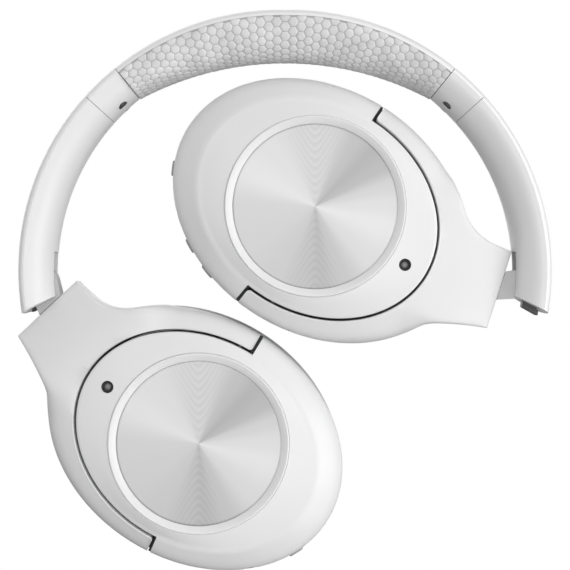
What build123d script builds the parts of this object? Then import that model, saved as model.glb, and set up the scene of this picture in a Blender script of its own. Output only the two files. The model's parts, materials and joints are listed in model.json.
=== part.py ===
"""Folding over-ear headphones, in millimetres.

Frame: +Z is towards the crown of the headband, +X is towards the wearer's left ear, and the wearer faces
-Y. The origin is the middle of the whole set's box at rest. At rest the set is part folded: both cups are
swivelled flat, with their outer faces towards -Y, the left cup folded up inside the headband and the right
cup a little in from its open position.

Every sided piece is drawn once, for the wearer's left with the cup open and flat, about the centre of the
headband's arc. place() folds it to rest, mirrors it for the right ear and moves it to the origin.
"Depth" is measured towards -Y from the middle of the headband.
"""

import os
from math import cos, radians, sin

from build123d import *

os.makedirs("parts", exist_ok=True)

# ---- sides -------------------------------------------------------------------------------------------
SIDES = ("left", "right")
FOLD_AT_REST = {"left": 79.9, "right": 15.1}  # degrees that each cup is folded in from open
ORIGIN = Vector(-0.1, 3.35, -6.33)  # middle of the set's box at rest, from the centre of the headband's arc
GAP = 0.12  # fitting gap between fixed neighbours
JOINT_GAP = 0.1  # between the end faces of neighbours along the band
RUNNING = 0.05  # radial clearance between a pin and its bore
SNUG = 0.02  # radial clearance of a fixed pin
FAR = 60  # beyond the edge of any piece, for cuts that go right through

# ---- headband and arms -------------------------------------------------------------------------------
ARC_X = 1.8  # the two side arcs are centred this far either side of the middle
BAND_OUT = 83.3  # radius of the outer face
BAND_SEAM = 80.5  # radius of the seam between the outer strip and the rounded inner body
BAND_IN = 71.3  # radius of the inner face
BAND_HALF = 14.0  # half the depth of the band
BEVEL_HALF = 9.8  # half the depth of the flat part of the outer face
BEVEL_DROP = 0.6  # how far the edges of that flat part sit below its middle
STRIP_LIP = 0.2  # the strip stops this far inside the band's edge
PAD_END = 39.1  # degrees from the crown
SPLIT = 48.1  # degrees from the crown, where the arm leaves the sleeve
ARM_FOOT = 112.0  # degrees from the crown, past the sloping end cut
END_SLOPE = 28.0  # degrees that the arm's end cut and the open cup lean inwards
ARM_DROP = 6.0  # from the hinge to the arm's end cut
PAD_CROWN_Z = 67.0  # height of the crown pad's inner face
PAD_ROUND = 6.0  # rounding of the crown pad's inner edges
CORE_IN, CORE_OUT, CORE_HALF = 73.6, 80.0, 9.5
CORE_PLAY = 0.15  # gap between the core and the pad's hollow
SPRING_IN, SPRING_OUT, SPRING_HALF = 80.1, 80.75, 9.0
SHELL_IN = 80.85  # radius of the outer shell's inner face over the crown

# ---- slider ------------------------------------------------------------------------------------------
RAIL_R = 120.0  # the rail is bent gently, so that the arm slides nearly straight
RAIL_SEAT = 76.5  # radius from the band's centre at which the rail crosses the split
RAIL_THICK, RAIL_HALF = 1.5, 4.4
RAIL_UP, RAIL_DOWN = 15.6, 6.5  # degrees of rail above and below the split
RAIL_PLAY = 0.3
RAIL_GRIP = 0.03  # gap between the rail and the arm that holds it
RAIL_OVERRUN = 0.5  # degrees that the core's channel runs past the rail
SCREW_ANGLE, SCREW_DEPTH = 43.4, 6.4  # degrees from the crown, and depth either side of the middle
SCREW_R, SCREW_HEAD = 1.6, 1.2  # radius and height of the screw's head
SHANK_R, SCREW_LENGTH = 0.9, 3.6
SCREW_SEAT = 74.6  # radius from the band's centre at which the head bears
SCREW_WELL = 8.0  # length of the hole that the head sits in

# ---- fold hinge and swivel ---------------------------------------------------------------------------
HINGE = Vector(76.8, 0, -3.2)
FACE_DROP = 7.04  # from the hinge to the neck's end face, along the neck
FACE_OFFSET = 5.2  # from the hinge to the swivel axis, across the neck
FACE_GAP = 0.1  # between the knuckle and the neck's end face
KNUCKLE_R, KNUCKLE_HALF = 3.9, 4.6
KNUCKLE_IN, KNUCKLE_OUT = 5.85, 3.45  # how far the knuckle's foot runs either side of the swivel axis
KNUCKLE_CHEEK = (5.1, -4.5)  # outer corner of the knuckle, from the hinge
SLOT_HALF, SLOT_TOP, SLOT_OUT = 4.9, 9.2, 5.3  # the fork: half depth, reach above and outside the hinge
PIN_R, PIN_HALF, PIN_CHAMFER = 1.5, 9.4, 0.3
BOLT_R, BOLT_IN, BOLT_OUT = 2.0, 3.0, 8.0  # bolt radius, and its reach into the knuckle and into the neck
CLIP_R, CLIP_MOUTH = 3.6, 1.2  # outer radius of the snap ring, and the width of its opening
CLIP_BACK = 1.4  # from the bolt's end to its groove
GROOVE_R, GROOVE_WIDE = 1.5, 1.0
CLIP_SIDE = 0.1  # gap either side of the snap ring in its groove

# ---- cup ---------------------------------------------------------------------------------------------
NECK_TURN = 15.1  # degrees between the cup's long axis and the neck
NECK_X, NECK_Y = 63.7, 10.35  # middle of the neck's end face from the disc's centre
NECK_WIDE, NECK_THICK = 26.0, 11.2  # size of the neck's end face
WAIST_LOW = ((58.5, -6.3), (49.4, -11.6))  # points on the neck's flare, from the disc's centre
WAIST_HIGH = ((47.8, 21.4), (36.6, 27.0))
NECK_RUN, NECK_SWELL = 26.0, 4.3  # length over which the neck thickens, and its rise half way along
NECK_STEP = (12.0, 10.0)  # where the thick end of the neck's underside starts and ends
OVAL_A, OVAL_B, OVAL_X = 40.05, 32.4, 0.6  # the cup's raised oval, and its centre's distance to the neck
RING_GAP = 0.8  # gap round the raised oval
OUT_A, OUT_B, OUT_X = 49.6, 38.8, 1.7  # outline of cup and yoke
BROW_A, BROW_B, BROW_X = 42.65, 34.4, 0.9  # top edge of the rounded surface that cup and yoke share
BULGE_A, BULGE_B, BULGE_X, BULGE_DEPTH = 47.0, 36.7, 1.3, 10.5  # the same surface part way down
FOOT_IN, LIP_IN = 1.0, 1.6  # how far the outline draws in at the yoke's foot and at the housing's foot
FACE_TOP, OVAL_TOP, RING_TOP, SHOULDER = 16.8, 14.0, 13.5, 5.5  # depths, outermost first
RING_FOOT, LEDGE, HOUSING_FOOT, BAFFLE_FOOT = 0.5, -3.9, -6.0, -8.0
PAD_TOP, PAD_FOOT = -8.15, -23.5
PAD_A, PAD_B, PAD_EDGE = 49.6, 39.6, 6.5  # ear pad outline and the rounding of its skin side
PAD_HOLE_A, PAD_HOLE_B = 30.0, 20.5
MESH_THICK, MESH_GAP = 0.5, 0.4  # ear cloth, and its gap to the pad's hole
DISC_R, DISC_THICK = 25.9, 1.7
DOME_TOP, DOME_EDGE = 16.2, 0.9  # top of the domed face, and how far outside the rim it is reached
HOLE_OUT = 7.0  # how far the holes through the rim are cut beyond it
BEZEL_R, BEZEL_HIGH, BEZEL_BEVEL, BEZEL_EDGE = 28.4, 3.1, 1.5, 0.3
WALL = 1.9
TIP_HIGH, TIP_LOW, TIP_GAP = 88.0, -96.0, 1.7  # degrees round the cup of the yoke's two ends, and their gap
PIVOT_X, PIVOT_DEPTH, PIVOT_R = 5.0, 6.6, 1.6  # the cup tilts in the yoke about this line
PIVOT_LONG, PIVOT_OUT = 6.0, 1.0  # length of a pivot pin, and its middle's distance outside the oval
PIVOT_BORE = 4.1  # how far the pivot bores run outside the oval
MIC_X, MIC_R, MIC_WELL = 33.6, 1.6, 2.0  # microphone port: distance from the disc's centre, radius and depth

# ---- controls and sockets ----------------------------------------------------------------------------
RIM_DEPTH = 4.2
BUTTON_LONG, BUTTON_WIDE, BUTTON_IN, BUTTON_PROUD = 5.0, 3.0, 3.0, 0.9
BUTTON_CORNER, BUTTON_EDGE, BUTTON_GAP, BUTTON_TRAVEL = 1.2, 0.35, 0.1, 0.8
BUTTONS = {  # degrees round the rim from the neck
    "left": {"power_button": 201.0, "volume_up_button": 235.0, "volume_down_button": 247.0},
    "right": {"noise_cancel_button": 201.0},
}
PORT_TURN = {"left": 180.0, "right": 222.0}
PORT_WIDE, PORT_HIGH, PORT_LONG, PORT_CORNER, PORT_IN = 9.0, 3.2, 7.4, 1.45, 0.6
PORT_WALL, TONGUE_WIDE, TONGUE_THICK = 0.35, 6.6, 0.7
JACK_R, JACK_BORE, JACK_LONG, JACK_END, JACK_IN = 3.0, 1.8, 9.0, 1.0, 0.3

# ---- inside the cup ----------------------------------------------------------------------------------
HOUSING_SCREW_TURNS = (42, 138, 222, 318)
HOUSING_SCREW_A, HOUSING_SCREW_B = 44.4, 34.9  # the screws stand on this ellipse
HEAD_R, HEAD_HIGH, THREAD_R, THREAD_LONG = 1.6, 0.9, 0.8, 2.4
DRIVER_R, DRIVER_RIM, BASKET_R, BASKET_DEEP, BASKET_WALL = 20.0, 2.5, 12.0, 4.0, 1.0
MAGNET_R, MAGNET_HIGH, MAGNET_EDGE = 11.5, 4.0, 0.4
FILM_THICK, CONE_WIDE, CONE_TOP, CONE_DEEP = 0.3, 12.0, 4.0, 1.4
BOARD_IN, BOARD_DEPTH, BOARD_THICK = 6.0, 4.6, 1.2  # inset from the oval, depth and thickness
CELL_LONG, CELL_WIDE, CELL_THICK, CELL_DEPTH, CELL_CORNER, CELL_EDGE = 36.0, 24.0, 4.6, 5.9, 2.0, 0.8

ON_TOP = (Align.CENTER, Align.CENTER, Align.MIN)  # stands on its plane
BELOW = (Align.CENTER, Align.CENTER, Align.MAX)  # hangs from its plane


# ---- planes ------------------------------------------------------------------------------------------
def section_plane(angle, centre):
    """Plane across an arc, `angle` degrees from the crown: local x is outwards and local y is depth."""
    outwards = (sin(radians(angle)), 0, cos(radians(angle)))
    along = (cos(radians(angle)), 0, -sin(radians(angle)))
    return Plane(origin=centre, x_dir=outwards, z_dir=along)


MIDDLE = Vector(0, 0, 0)
BAND_CENTRE = Vector(ARC_X, 0, 0)
BAND_AXIS = Axis(tuple(BAND_CENTRE), (0, 1, 0))
HINGE_AXIS = Axis(tuple(HINGE), (0, 1, 0))

NECK_DIR = Vector(sin(radians(END_SLOPE)), 0, cos(radians(END_SLOPE)))  # from the cup to the hinge, cup open
CROSS_DIR = Vector(cos(radians(END_SLOPE)), 0, -sin(radians(END_SLOPE)))  # across the neck, outwards
FACE_MID = HINGE - NECK_DIR * FACE_DROP + CROSS_DIR * FACE_OFFSET
LONG_ANGLE = 90 - END_SLOPE - NECK_TURN
LONG_DIR = Vector(cos(radians(LONG_ANGLE)), 0, sin(radians(LONG_ANGLE)))
WIDE_DIR = Vector(-sin(radians(LONG_ANGLE)), 0, cos(radians(LONG_ANGLE)))
DISC_MID = FACE_MID - LONG_DIR * NECK_X - WIDE_DIR * NECK_Y
CUP = Plane(origin=DISC_MID, x_dir=LONG_DIR, z_dir=(0, -1, 0))  # local x to the neck, y to the crown, z depth
NECK = Plane(origin=FACE_MID, x_dir=CROSS_DIR, z_dir=NECK_DIR * -1)  # faces into the cup from the end face
PIVOT = Plane(origin=CUP.from_local_coords((PIVOT_X, 0, PIVOT_DEPTH)), x_dir=LONG_DIR, z_dir=WIDE_DIR)

SPLIT_OUT = Vector(sin(radians(SPLIT)), 0, cos(radians(SPLIT)))
RAIL_CENTRE = BAND_CENTRE + SPLIT_OUT * (RAIL_SEAT - RAIL_R)
RAIL_AXIS = Axis(tuple(RAIL_CENTRE), (0, 1, 0))


def place(shape, name, side=None, folds=False):
    """Folds a left-hand piece to rest, mirrors it for the right ear, moves it to the origin and saves it."""
    label = name if side is None else f"{side}_{name}"
    if folds:
        shape = shape.rotate(HINGE_AXIS, FOLD_AT_REST[side])
    if side == "right":
        shape = shape.mirror(Plane.YZ)
    shape = shape.moved(Location(ORIGIN * -1))
    shape.label = label
    export_step(shape, f"parts/{label}.step")


# ---- headband sections -------------------------------------------------------------------------------
def strip_section(inner):
    """Outer strip of the band: a shallow crown between two bevels."""
    with BuildSketch() as section:
        with BuildLine():
            Line((inner, -BAND_HALF + STRIP_LIP), (BAND_OUT - BEVEL_DROP, -BEVEL_HALF))
            ThreePointArc(
                (BAND_OUT - BEVEL_DROP, -BEVEL_HALF), (BAND_OUT, 0), (BAND_OUT - BEVEL_DROP, BEVEL_HALF)
            )
            Line((BAND_OUT - BEVEL_DROP, BEVEL_HALF), (inner, BAND_HALF - STRIP_LIP))
            Line((inner, BAND_HALF - STRIP_LIP), (inner, -BAND_HALF + STRIP_LIP))
        make_face()
    return section.sketch


def body_section():
    """Rounded inner body of the band: half an ellipse."""
    with BuildSketch() as section:
        with Locations((BAND_SEAM, 0)):
            Ellipse(BAND_SEAM - BAND_IN, BAND_HALF)
            Rectangle(FAR, FAR, align=(Align.MIN, Align.CENTER), mode=Mode.SUBTRACT)
    return section.sketch


def flat_section(inner, outer, half):
    with BuildSketch() as section:
        with Locations(((inner + outer) / 2, 0)):
            Rectangle(outer - inner, 2 * half)
    return section.sketch


def over_crown(section):
    """A curved strip from one end of the crown pad over the crown to the other."""
    with BuildPart() as strip:
        with BuildSketch(section_plane(0, MIDDLE)):
            add(section)
        extrude(amount=ARC_X)
        with BuildSketch(section_plane(0, BAND_CENTRE)):
            add(section)
        revolve(axis=BAND_AXIS, revolution_arc=PAD_END)
        mirror(about=Plane.YZ)
    return strip.part


def along_side(section, start, end):
    """A curved strip down the left side, between two angles from the crown."""
    with BuildPart() as strip:
        with BuildSketch(section_plane(start, BAND_CENTRE)):
            add(section)
        revolve(axis=BAND_AXIS, revolution_arc=end - start)
    return strip.part


def rail_path(up, down, play=0.0):
    """The slider rail, or with `play` its channel, between two angles either side of the split."""
    with BuildPart() as path:
        with BuildSketch(section_plane(SPLIT - up, RAIL_CENTRE)):
            with Locations((RAIL_R, 0)):
                Rectangle(RAIL_THICK + 2 * play, 2 * (RAIL_HALF + play))
        revolve(axis=RAIL_AXIS, revolution_arc=up + down)
    return path.part


# ---- headband ----------------------------------------------------------------------------------------
def headband_core():
    """Plastic core under the spring band, with a channel at each end for the slider rails."""
    with BuildPart() as core:
        add(over_crown(flat_section(CORE_IN, CORE_OUT, CORE_HALF)))
        channel = rail_path(RAIL_UP + RAIL_OVERRUN, 0, RAIL_PLAY)
        add(channel, mode=Mode.SUBTRACT)
        add(channel.mirror(Plane.YZ), mode=Mode.SUBTRACT)
    return core.part


def headband_pad():
    """Crown cushion: a crescent with its inner edges rounded, hollowed to sit over the core."""
    seat = BAND_SEAM - GAP
    end = radians(PAD_END)
    toe = (ARC_X + (BAND_IN + GAP) * sin(end), (BAND_IN + GAP) * cos(end))
    heel = (ARC_X + seat * sin(end), seat * cos(end))
    hollow = flat_section(CORE_IN - CORE_PLAY, BAND_OUT, CORE_HALF + CORE_PLAY)
    with BuildPart() as pad:
        with BuildSketch(Plane.XZ):
            with BuildLine():
                Line(toe, heel)
                ThreePointArc(heel, (0, seat), (-heel[0], heel[1]))
                Line((-heel[0], heel[1]), (-toe[0], toe[1]))
                ThreePointArc((-toe[0], toe[1]), (0, PAD_CROWN_Z), toe)
            make_face()
        extrude(amount=BAND_HALF, both=True)
        inner_face = pad.faces().filter_by(GeomType.CYLINDER).sort_by(Axis.Z)[0]
        fillet(inner_face.edges().filter_by(GeomType.CIRCLE), PAD_ROUND)
        with BuildSketch(section_plane(0, MIDDLE)):
            add(hollow)
        extrude(amount=ARC_X, both=True, mode=Mode.SUBTRACT)
        for way in (1, -1):
            with BuildSketch(section_plane(0, BAND_CENTRE * way)):
                add(hollow)
            revolve(axis=Axis((ARC_X * way, 0, 0), (0, way, 0)), revolution_arc=SPLIT, mode=Mode.SUBTRACT)
    return pad.part


def end_sleeve():
    """Sleeve that joins the crown to the arm, with the rail running through it and two screws from inside."""
    with BuildPart() as sleeve:
        add(along_side(body_section(), PAD_END + JOINT_GAP, SPLIT - JOINT_GAP))
        add(along_side(strip_section(BAND_SEAM), PAD_END + JOINT_GAP, SPLIT - JOINT_GAP))
        add(rail_path(RAIL_UP, RAIL_DOWN, RAIL_PLAY), mode=Mode.SUBTRACT)
        with Locations(*screw_places()):
            Cylinder(SCREW_R + GAP, SCREW_WELL, align=BELOW, mode=Mode.SUBTRACT)
            Cylinder(SHANK_R + RUNNING, SCREW_LENGTH + GAP, align=ON_TOP, mode=Mode.SUBTRACT)
    return sleeve.part


def screw_places():
    """Seats of the two sleeve screws: local z is outwards."""
    places = []
    for depth in (SCREW_DEPTH, -SCREW_DEPTH):
        across = section_plane(SCREW_ANGLE, BAND_CENTRE)
        seat = across.from_local_coords((SCREW_SEAT, depth, 0))
        places.append(Plane(origin=seat, z_dir=across.x_dir).location)
    return places


def sleeve_screws():
    with BuildPart() as screws:
        with Locations(*screw_places()):
            Cylinder(SCREW_R, SCREW_HEAD, align=BELOW)
            Cylinder(SHANK_R, SCREW_LENGTH, align=ON_TOP)
        mirror(about=Plane.YZ)
    return screws.part


# ---- arm and fold hinge ------------------------------------------------------------------------------
ARM_END = Plane(origin=HINGE - NECK_DIR * ARM_DROP, x_dir=CROSS_DIR, z_dir=NECK_DIR * -1)
HINGE_PLANE = Plane(origin=HINGE, x_dir=(1, 0, 0), z_dir=(0, -1, 0))  # local x outwards, y up


def arm_strip():
    """Glossy outer strip of the arm."""
    with BuildPart() as strip:
        add(along_side(strip_section(BAND_SEAM + GAP), SPLIT + JOINT_GAP, ARM_FOOT))
        with BuildSketch(ARM_END):
            Rectangle(FAR, FAR)
        extrude(amount=FAR, mode=Mode.SUBTRACT)
    return strip.part


def arm_body():
    """Rounded inner body of the arm: holds the rail at the top and forks round the knuckle at the foot."""
    with BuildPart() as body:
        add(along_side(body_section(), SPLIT + JOINT_GAP, ARM_FOOT))
        with BuildSketch(ARM_END):
            Rectangle(FAR, FAR)
        extrude(amount=FAR, mode=Mode.SUBTRACT)
        add(rail_path(RAIL_UP, RAIL_DOWN + JOINT_GAP, RAIL_GRIP), mode=Mode.SUBTRACT)
        with BuildSketch(HINGE_PLANE):
            with Locations((SLOT_OUT, SLOT_TOP)):
                Rectangle(FAR, FAR, align=(Align.MAX, Align.MAX))
        extrude(amount=SLOT_HALF, both=True, mode=Mode.SUBTRACT)
        with Locations(HINGE_PLANE):
            Cylinder(PIN_R + SNUG, 2 * (PIN_HALF + JOINT_GAP), mode=Mode.SUBTRACT)
    return body.part


def fold_pin():
    with BuildPart() as pin:
        with Locations(HINGE_PLANE):
            Cylinder(PIN_R, 2 * PIN_HALF)
        chamfer(pin.edges().filter_by(GeomType.CIRCLE), PIN_CHAMFER)
    return pin.part


def knuckle():
    """Block that turns on the fold pin and carries the swivel bolt, ending flush against the neck."""
    foot = FACE_MID + NECK_DIR * FACE_GAP
    inner_foot = HINGE_PLANE.to_local_coords(foot - CROSS_DIR * KNUCKLE_IN)
    outer_foot = HINGE_PLANE.to_local_coords(foot + CROSS_DIR * KNUCKLE_OUT)
    with BuildPart() as block:
        with BuildSketch(HINGE_PLANE):
            Circle(KNUCKLE_R)
            with BuildLine():
                Polyline(
                    (inner_foot.X, inner_foot.Y),
                    (outer_foot.X, outer_foot.Y),
                    KNUCKLE_CHEEK,
                    (KNUCKLE_R, 0),
                    (-KNUCKLE_R, 0),
                    close=True,
                )
            make_face()
        extrude(amount=KNUCKLE_HALF, both=True)
        with Locations(HINGE_PLANE):
            Cylinder(PIN_R + RUNNING, 3 * KNUCKLE_HALF, mode=Mode.SUBTRACT)
        with Locations(NECK.offset(-BOLT_IN)):
            Cylinder(BOLT_R + SNUG, FAR, align=ON_TOP, mode=Mode.SUBTRACT)
    return block.part


def swivel_bolt():
    with BuildPart() as bolt:
        with Locations(NECK.offset(RUNNING - BOLT_IN)):
            Cylinder(BOLT_R, BOLT_IN + BOLT_OUT - RUNNING, align=ON_TOP)
        with Locations(NECK.offset(BOLT_OUT - CLIP_BACK)):
            Cylinder(CLIP_R, GROOVE_WIDE, align=ON_TOP, mode=Mode.SUBTRACT)
            Cylinder(GROOVE_R, GROOVE_WIDE, align=ON_TOP)
    return bolt.part


def swivel_clip():
    """Snap ring that keeps the bolt in the neck."""
    with BuildPart() as clip:
        with BuildSketch(NECK.offset(BOLT_OUT - CLIP_BACK + CLIP_SIDE)):
            Circle(CLIP_R)
            Circle(GROOVE_R + SNUG, mode=Mode.SUBTRACT)
            with Locations((CLIP_R, 0)):
                Rectangle(2 * CLIP_R, CLIP_MOUTH, mode=Mode.SUBTRACT)
        extrude(amount=GROOVE_WIDE - 2 * CLIP_SIDE)
    return clip.part


# ---- cup sections ------------------------------------------------------------------------------------
def oval(half_long, half_wide, centre, depth):
    """An elliptical face across the cup at one depth."""
    with BuildSketch(CUP.offset(depth)) as face:
        with Locations((centre, 0)):
            Ellipse(half_long, half_wide)
    return face.sketch


def sector(start, end):
    """A wedge right through the cup, between two angles round the disc's centre from the neck."""
    sides = 6
    corners = [(0, 0)]
    for corner in range(sides + 1):
        angle = radians(start + (end - start) * corner / sides)
        corners.append((2 * FAR * cos(angle), 2 * FAR * sin(angle)))
    with BuildPart() as wedge:
        with BuildSketch(CUP):
            with BuildLine():
                Polyline(*corners, close=True)
            make_face()
        extrude(amount=FAR, both=True)
    return wedge.part


def ring_mass(foot):
    """Solid under the rounded surface that yoke and cup share, down to the depth `foot`."""
    with BuildPart() as mass:
        loft([
            oval(BROW_A, BROW_B, BROW_X, RING_TOP),
            oval(BULGE_A, BULGE_B, BULGE_X, BULGE_DEPTH),
            oval(OUT_A, OUT_B, OUT_X, SHOULDER),
        ])
        loft([
            oval(OUT_A, OUT_B, OUT_X, SHOULDER),
            oval(OUT_A - FOOT_IN, OUT_B - FOOT_IN, OUT_X, foot),
        ], ruled=True)
    return mass.part


def neck_mass():
    """The waisted neck between the yoke's ring and the knuckle."""
    turn = radians(NECK_TURN)
    low = (NECK_X + NECK_WIDE / 2 * sin(turn), NECK_Y - NECK_WIDE / 2 * cos(turn))
    high = (NECK_X - NECK_WIDE / 2 * sin(turn), NECK_Y + NECK_WIDE / 2 * cos(turn))
    side = Plane(origin=FACE_MID, x_dir=NECK_DIR * -1, z_dir=CROSS_DIR * -1)
    half = NECK_THICK / 2
    thick_end, thin_start = NECK_STEP[1], NECK_STEP[0]
    with BuildPart() as neck:
        with BuildSketch(CUP):
            with BuildLine():
                ThreePointArc(low, *WAIST_LOW)
                Polyline(WAIST_LOW[1], (OVAL_B, 0), WAIST_HIGH[1])
                ThreePointArc(WAIST_HIGH[1], WAIST_HIGH[0], high)
                Line(high, low)
            make_face()
        extrude(amount=FAR, both=True)
        with BuildSketch(side):
            with BuildLine():
                Spline(
                    (0, half),
                    (NECK_RUN / 2, half + NECK_SWELL),
                    (NECK_RUN, RING_TOP),
                    tangents=((1, 0.3), (1, 0.1)),
                )
                Polyline(
                    (NECK_RUN, RING_TOP),
                    (FAR, RING_TOP),
                    (FAR, RING_FOOT),
                    (thin_start, RING_FOOT),
                    (thick_end, -half),
                    (0, -half),
                    (0, half),
                )
            make_face()
        extrude(amount=FAR, both=True, mode=Mode.INTERSECT)
    return neck.part


# ---- yoke --------------------------------------------------------------------------------------------
def yoke():
    """Half ring that carries the cup on two pivots, with the neck that swivels on the knuckle."""
    with BuildPart() as frame:
        add(ring_mass(RING_FOOT))
        add(sector(TIP_LOW, TIP_HIGH), mode=Mode.INTERSECT)
        add(neck_mass())
        hole = oval(OVAL_A + RING_GAP, OVAL_B + RING_GAP, OVAL_X, HOUSING_FOOT)
        extrude(hole, amount=FAR, mode=Mode.SUBTRACT)
        with Locations(NECK):
            Cylinder(BOLT_R + RUNNING, BOLT_OUT, align=ON_TOP, mode=Mode.SUBTRACT)
        with Locations(NECK.offset(BOLT_OUT - CLIP_BACK - 2 * CLIP_SIDE)):
            Cylinder(CLIP_R + RAIL_PLAY, GROOVE_WIDE + 8 * CLIP_SIDE, align=ON_TOP, mode=Mode.SUBTRACT)
        with Locations(PIVOT):
            Cylinder(PIVOT_R + SNUG, 2 * (OVAL_B + PIVOT_BORE), mode=Mode.SUBTRACT)
    return frame.part


def pivot_pins():
    """Two stub pins at the ends of the yoke, on which the cup tilts."""
    with BuildPart() as pins:
        for way in (1, -1):
            with Locations(PIVOT.offset(way * (OVAL_B + PIVOT_OUT))):
                Cylinder(PIVOT_R, PIVOT_LONG)
    return pins.part


# ---- cup ---------------------------------------------------------------------------------------------
def rim_plane(turn, depth):
    """Plane on the cup's rim: local z is straight out of the rim, x along it, y towards the outer face."""
    angle = radians(turn)
    outward = LONG_DIR * (cos(angle) / OUT_A) + WIDE_DIR * (sin(angle) / OUT_B)
    along = outward.cross(Vector(0, -1, 0))
    spot = CUP.from_local_coords((OUT_X + OUT_A * cos(angle), OUT_B * sin(angle), depth))
    return Plane(origin=spot, x_dir=along, z_dir=outward)


def screw_spots():
    """Places of the housing screws across the cup."""
    spots = []
    for turn in HOUSING_SCREW_TURNS:
        angle = radians(turn)
        spots.append((OUT_X + HOUSING_SCREW_A * cos(angle), HOUSING_SCREW_B * sin(angle)))
    return spots


def button(turn):
    """Key that stands a little proud of the rim."""
    face = rim_plane(turn, RIM_DEPTH)
    with BuildPart() as cap:
        with BuildSketch(face.offset(-BUTTON_IN)):
            RectangleRounded(BUTTON_LONG, BUTTON_WIDE, BUTTON_CORNER)
        extrude(amount=BUTTON_IN + BUTTON_PROUD)
        top = cap.faces().sort_by(Axis(tuple(DISC_MID), tuple(face.z_dir)))[-1]
        fillet(top.edges(), BUTTON_EDGE)
    return cap.part


def cup_shell(side):
    """Outer shell: raised oval with a recess for the disc, the rim of the far half, and the flange below."""
    with BuildPart() as shell:
        add(ring_mass(LEDGE))
        add(sector(TIP_HIGH + TIP_GAP, 360 + TIP_LOW - TIP_GAP), mode=Mode.INTERSECT)
        extrude(oval(OVAL_A, OVAL_B, OVAL_X, LEDGE), amount=OVAL_TOP - LEDGE)
        loft([
            oval(OVAL_A, OVAL_B, OVAL_X, OVAL_TOP),
            oval(BEZEL_R + DOME_EDGE, BEZEL_R + DOME_EDGE, 0, DOME_TOP),
        ])
        loft([
            oval(OUT_A - FOOT_IN, OUT_B - FOOT_IN, OUT_X, LEDGE),
            oval(OUT_A - LIP_IN, OUT_B - LIP_IN, OUT_X, HOUSING_FOOT),
        ], ruled=True)
        inner = oval(OVAL_A - WALL, OVAL_B - WALL, OVAL_X, HOUSING_FOOT)
        extrude(inner, amount=OVAL_TOP - WALL - HOUSING_FOOT, mode=Mode.SUBTRACT)
        with Locations(CUP.offset(FACE_TOP - BEZEL_HIGH - JOINT_GAP)):
            Cylinder(BEZEL_R + RUNNING, FAR, align=ON_TOP, mode=Mode.SUBTRACT)
        with Locations(CUP.offset(OVAL_TOP - MIC_WELL)):
            with Locations((MIC_X, 0)):
                Cylinder(MIC_R, FAR, align=ON_TOP, mode=Mode.SUBTRACT)
        with Locations(PIVOT):
            Cylinder(PIVOT_R + RUNNING, 2 * (OVAL_B + PIVOT_BORE), mode=Mode.SUBTRACT)
        for turn in BUTTONS[side].values():
            with BuildSketch(rim_plane(turn, RIM_DEPTH).offset(-BUTTON_IN - BUTTON_TRAVEL)):
                RectangleRounded(
                    BUTTON_LONG + 2 * BUTTON_GAP, BUTTON_WIDE + 2 * BUTTON_GAP, BUTTON_CORNER + BUTTON_GAP
                )
            extrude(amount=BUTTON_IN + HOLE_OUT, mode=Mode.SUBTRACT)
        socket = rim_plane(PORT_TURN[side], RIM_DEPTH)
        if side == "left":
            with BuildSketch(socket.offset(-PORT_IN - PORT_LONG - RAIL_PLAY)):
                RectangleRounded(PORT_WIDE + 2 * RUNNING, PORT_HIGH + 2 * RUNNING, PORT_CORNER + RUNNING)
            extrude(amount=PORT_LONG + HOLE_OUT, mode=Mode.SUBTRACT)
        else:
            with Locations(socket.offset(-JACK_IN - JACK_LONG)):
                Cylinder(JACK_R + RUNNING, JACK_LONG + HOLE_OUT, align=ON_TOP, mode=Mode.SUBTRACT)
        with Locations(CUP.offset(HOUSING_FOOT)):
            with Locations(*screw_spots()):
                Cylinder(THREAD_R + RUNNING, THREAD_LONG, align=ON_TOP, mode=Mode.SUBTRACT)
    return shell.part


def bezel():
    """Rim round the disc, with a broad inner bevel."""
    with BuildPart() as rim:
        with BuildSketch(CUP.offset(FACE_TOP - BEZEL_HIGH)):
            Circle(BEZEL_R)
            Circle(DISC_R + JOINT_GAP, mode=Mode.SUBTRACT)
        extrude(amount=BEZEL_HIGH)
        top = rim.faces().sort_by(Axis.Y)[0]
        chamfer(top.edges().sort_by(SortBy.RADIUS)[0], BEZEL_BEVEL)
        fillet(rim.faces().sort_by(Axis.Y)[0].edges().sort_by(SortBy.RADIUS)[-1], BEZEL_EDGE)
    return rim.part


def disc():
    """Spun metal disc that lies in the rim."""
    with BuildPart() as plate:
        with Locations(CUP.offset(FACE_TOP - BEZEL_HIGH)):
            Cylinder(DISC_R, DISC_THICK, align=ON_TOP)
    return plate.part


def mic_cap():
    """Dark gauze in the microphone port."""
    with BuildPart() as cap:
        with Locations(CUP.offset(OVAL_TOP - MIC_WELL)):
            with Locations((MIC_X, 0)):
                Cylinder(MIC_R - SNUG, MIC_WELL / 2, align=ON_TOP)
    return cap.part


def baffle():
    """Plate that closes the cup, with the driver's opening and countersunk screw holes."""
    with BuildPart() as plate:
        outline = oval(OUT_A - LIP_IN, OUT_B - LIP_IN, OUT_X, BAFFLE_FOOT)
        extrude(outline, amount=HOUSING_FOOT - RUNNING - BAFFLE_FOOT)
        with Locations(CUP.offset(BAFFLE_FOOT)):
            Cylinder(DRIVER_R + RUNNING, FAR, mode=Mode.SUBTRACT)
            with Locations(*screw_spots()):
                Cylinder(THREAD_R + GAP, FAR, mode=Mode.SUBTRACT)
                Cylinder(HEAD_R + GAP, HEAD_HIGH + JOINT_GAP, align=ON_TOP, mode=Mode.SUBTRACT)
    return plate.part


def housing_screws():
    with BuildPart() as screws:
        with Locations(CUP.offset(BAFFLE_FOOT + HEAD_HIGH + JOINT_GAP)):
            with Locations(*screw_spots()):
                Cylinder(HEAD_R, HEAD_HIGH, align=BELOW)
                Cylinder(THREAD_R, THREAD_LONG, align=ON_TOP)
    return screws.part


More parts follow.
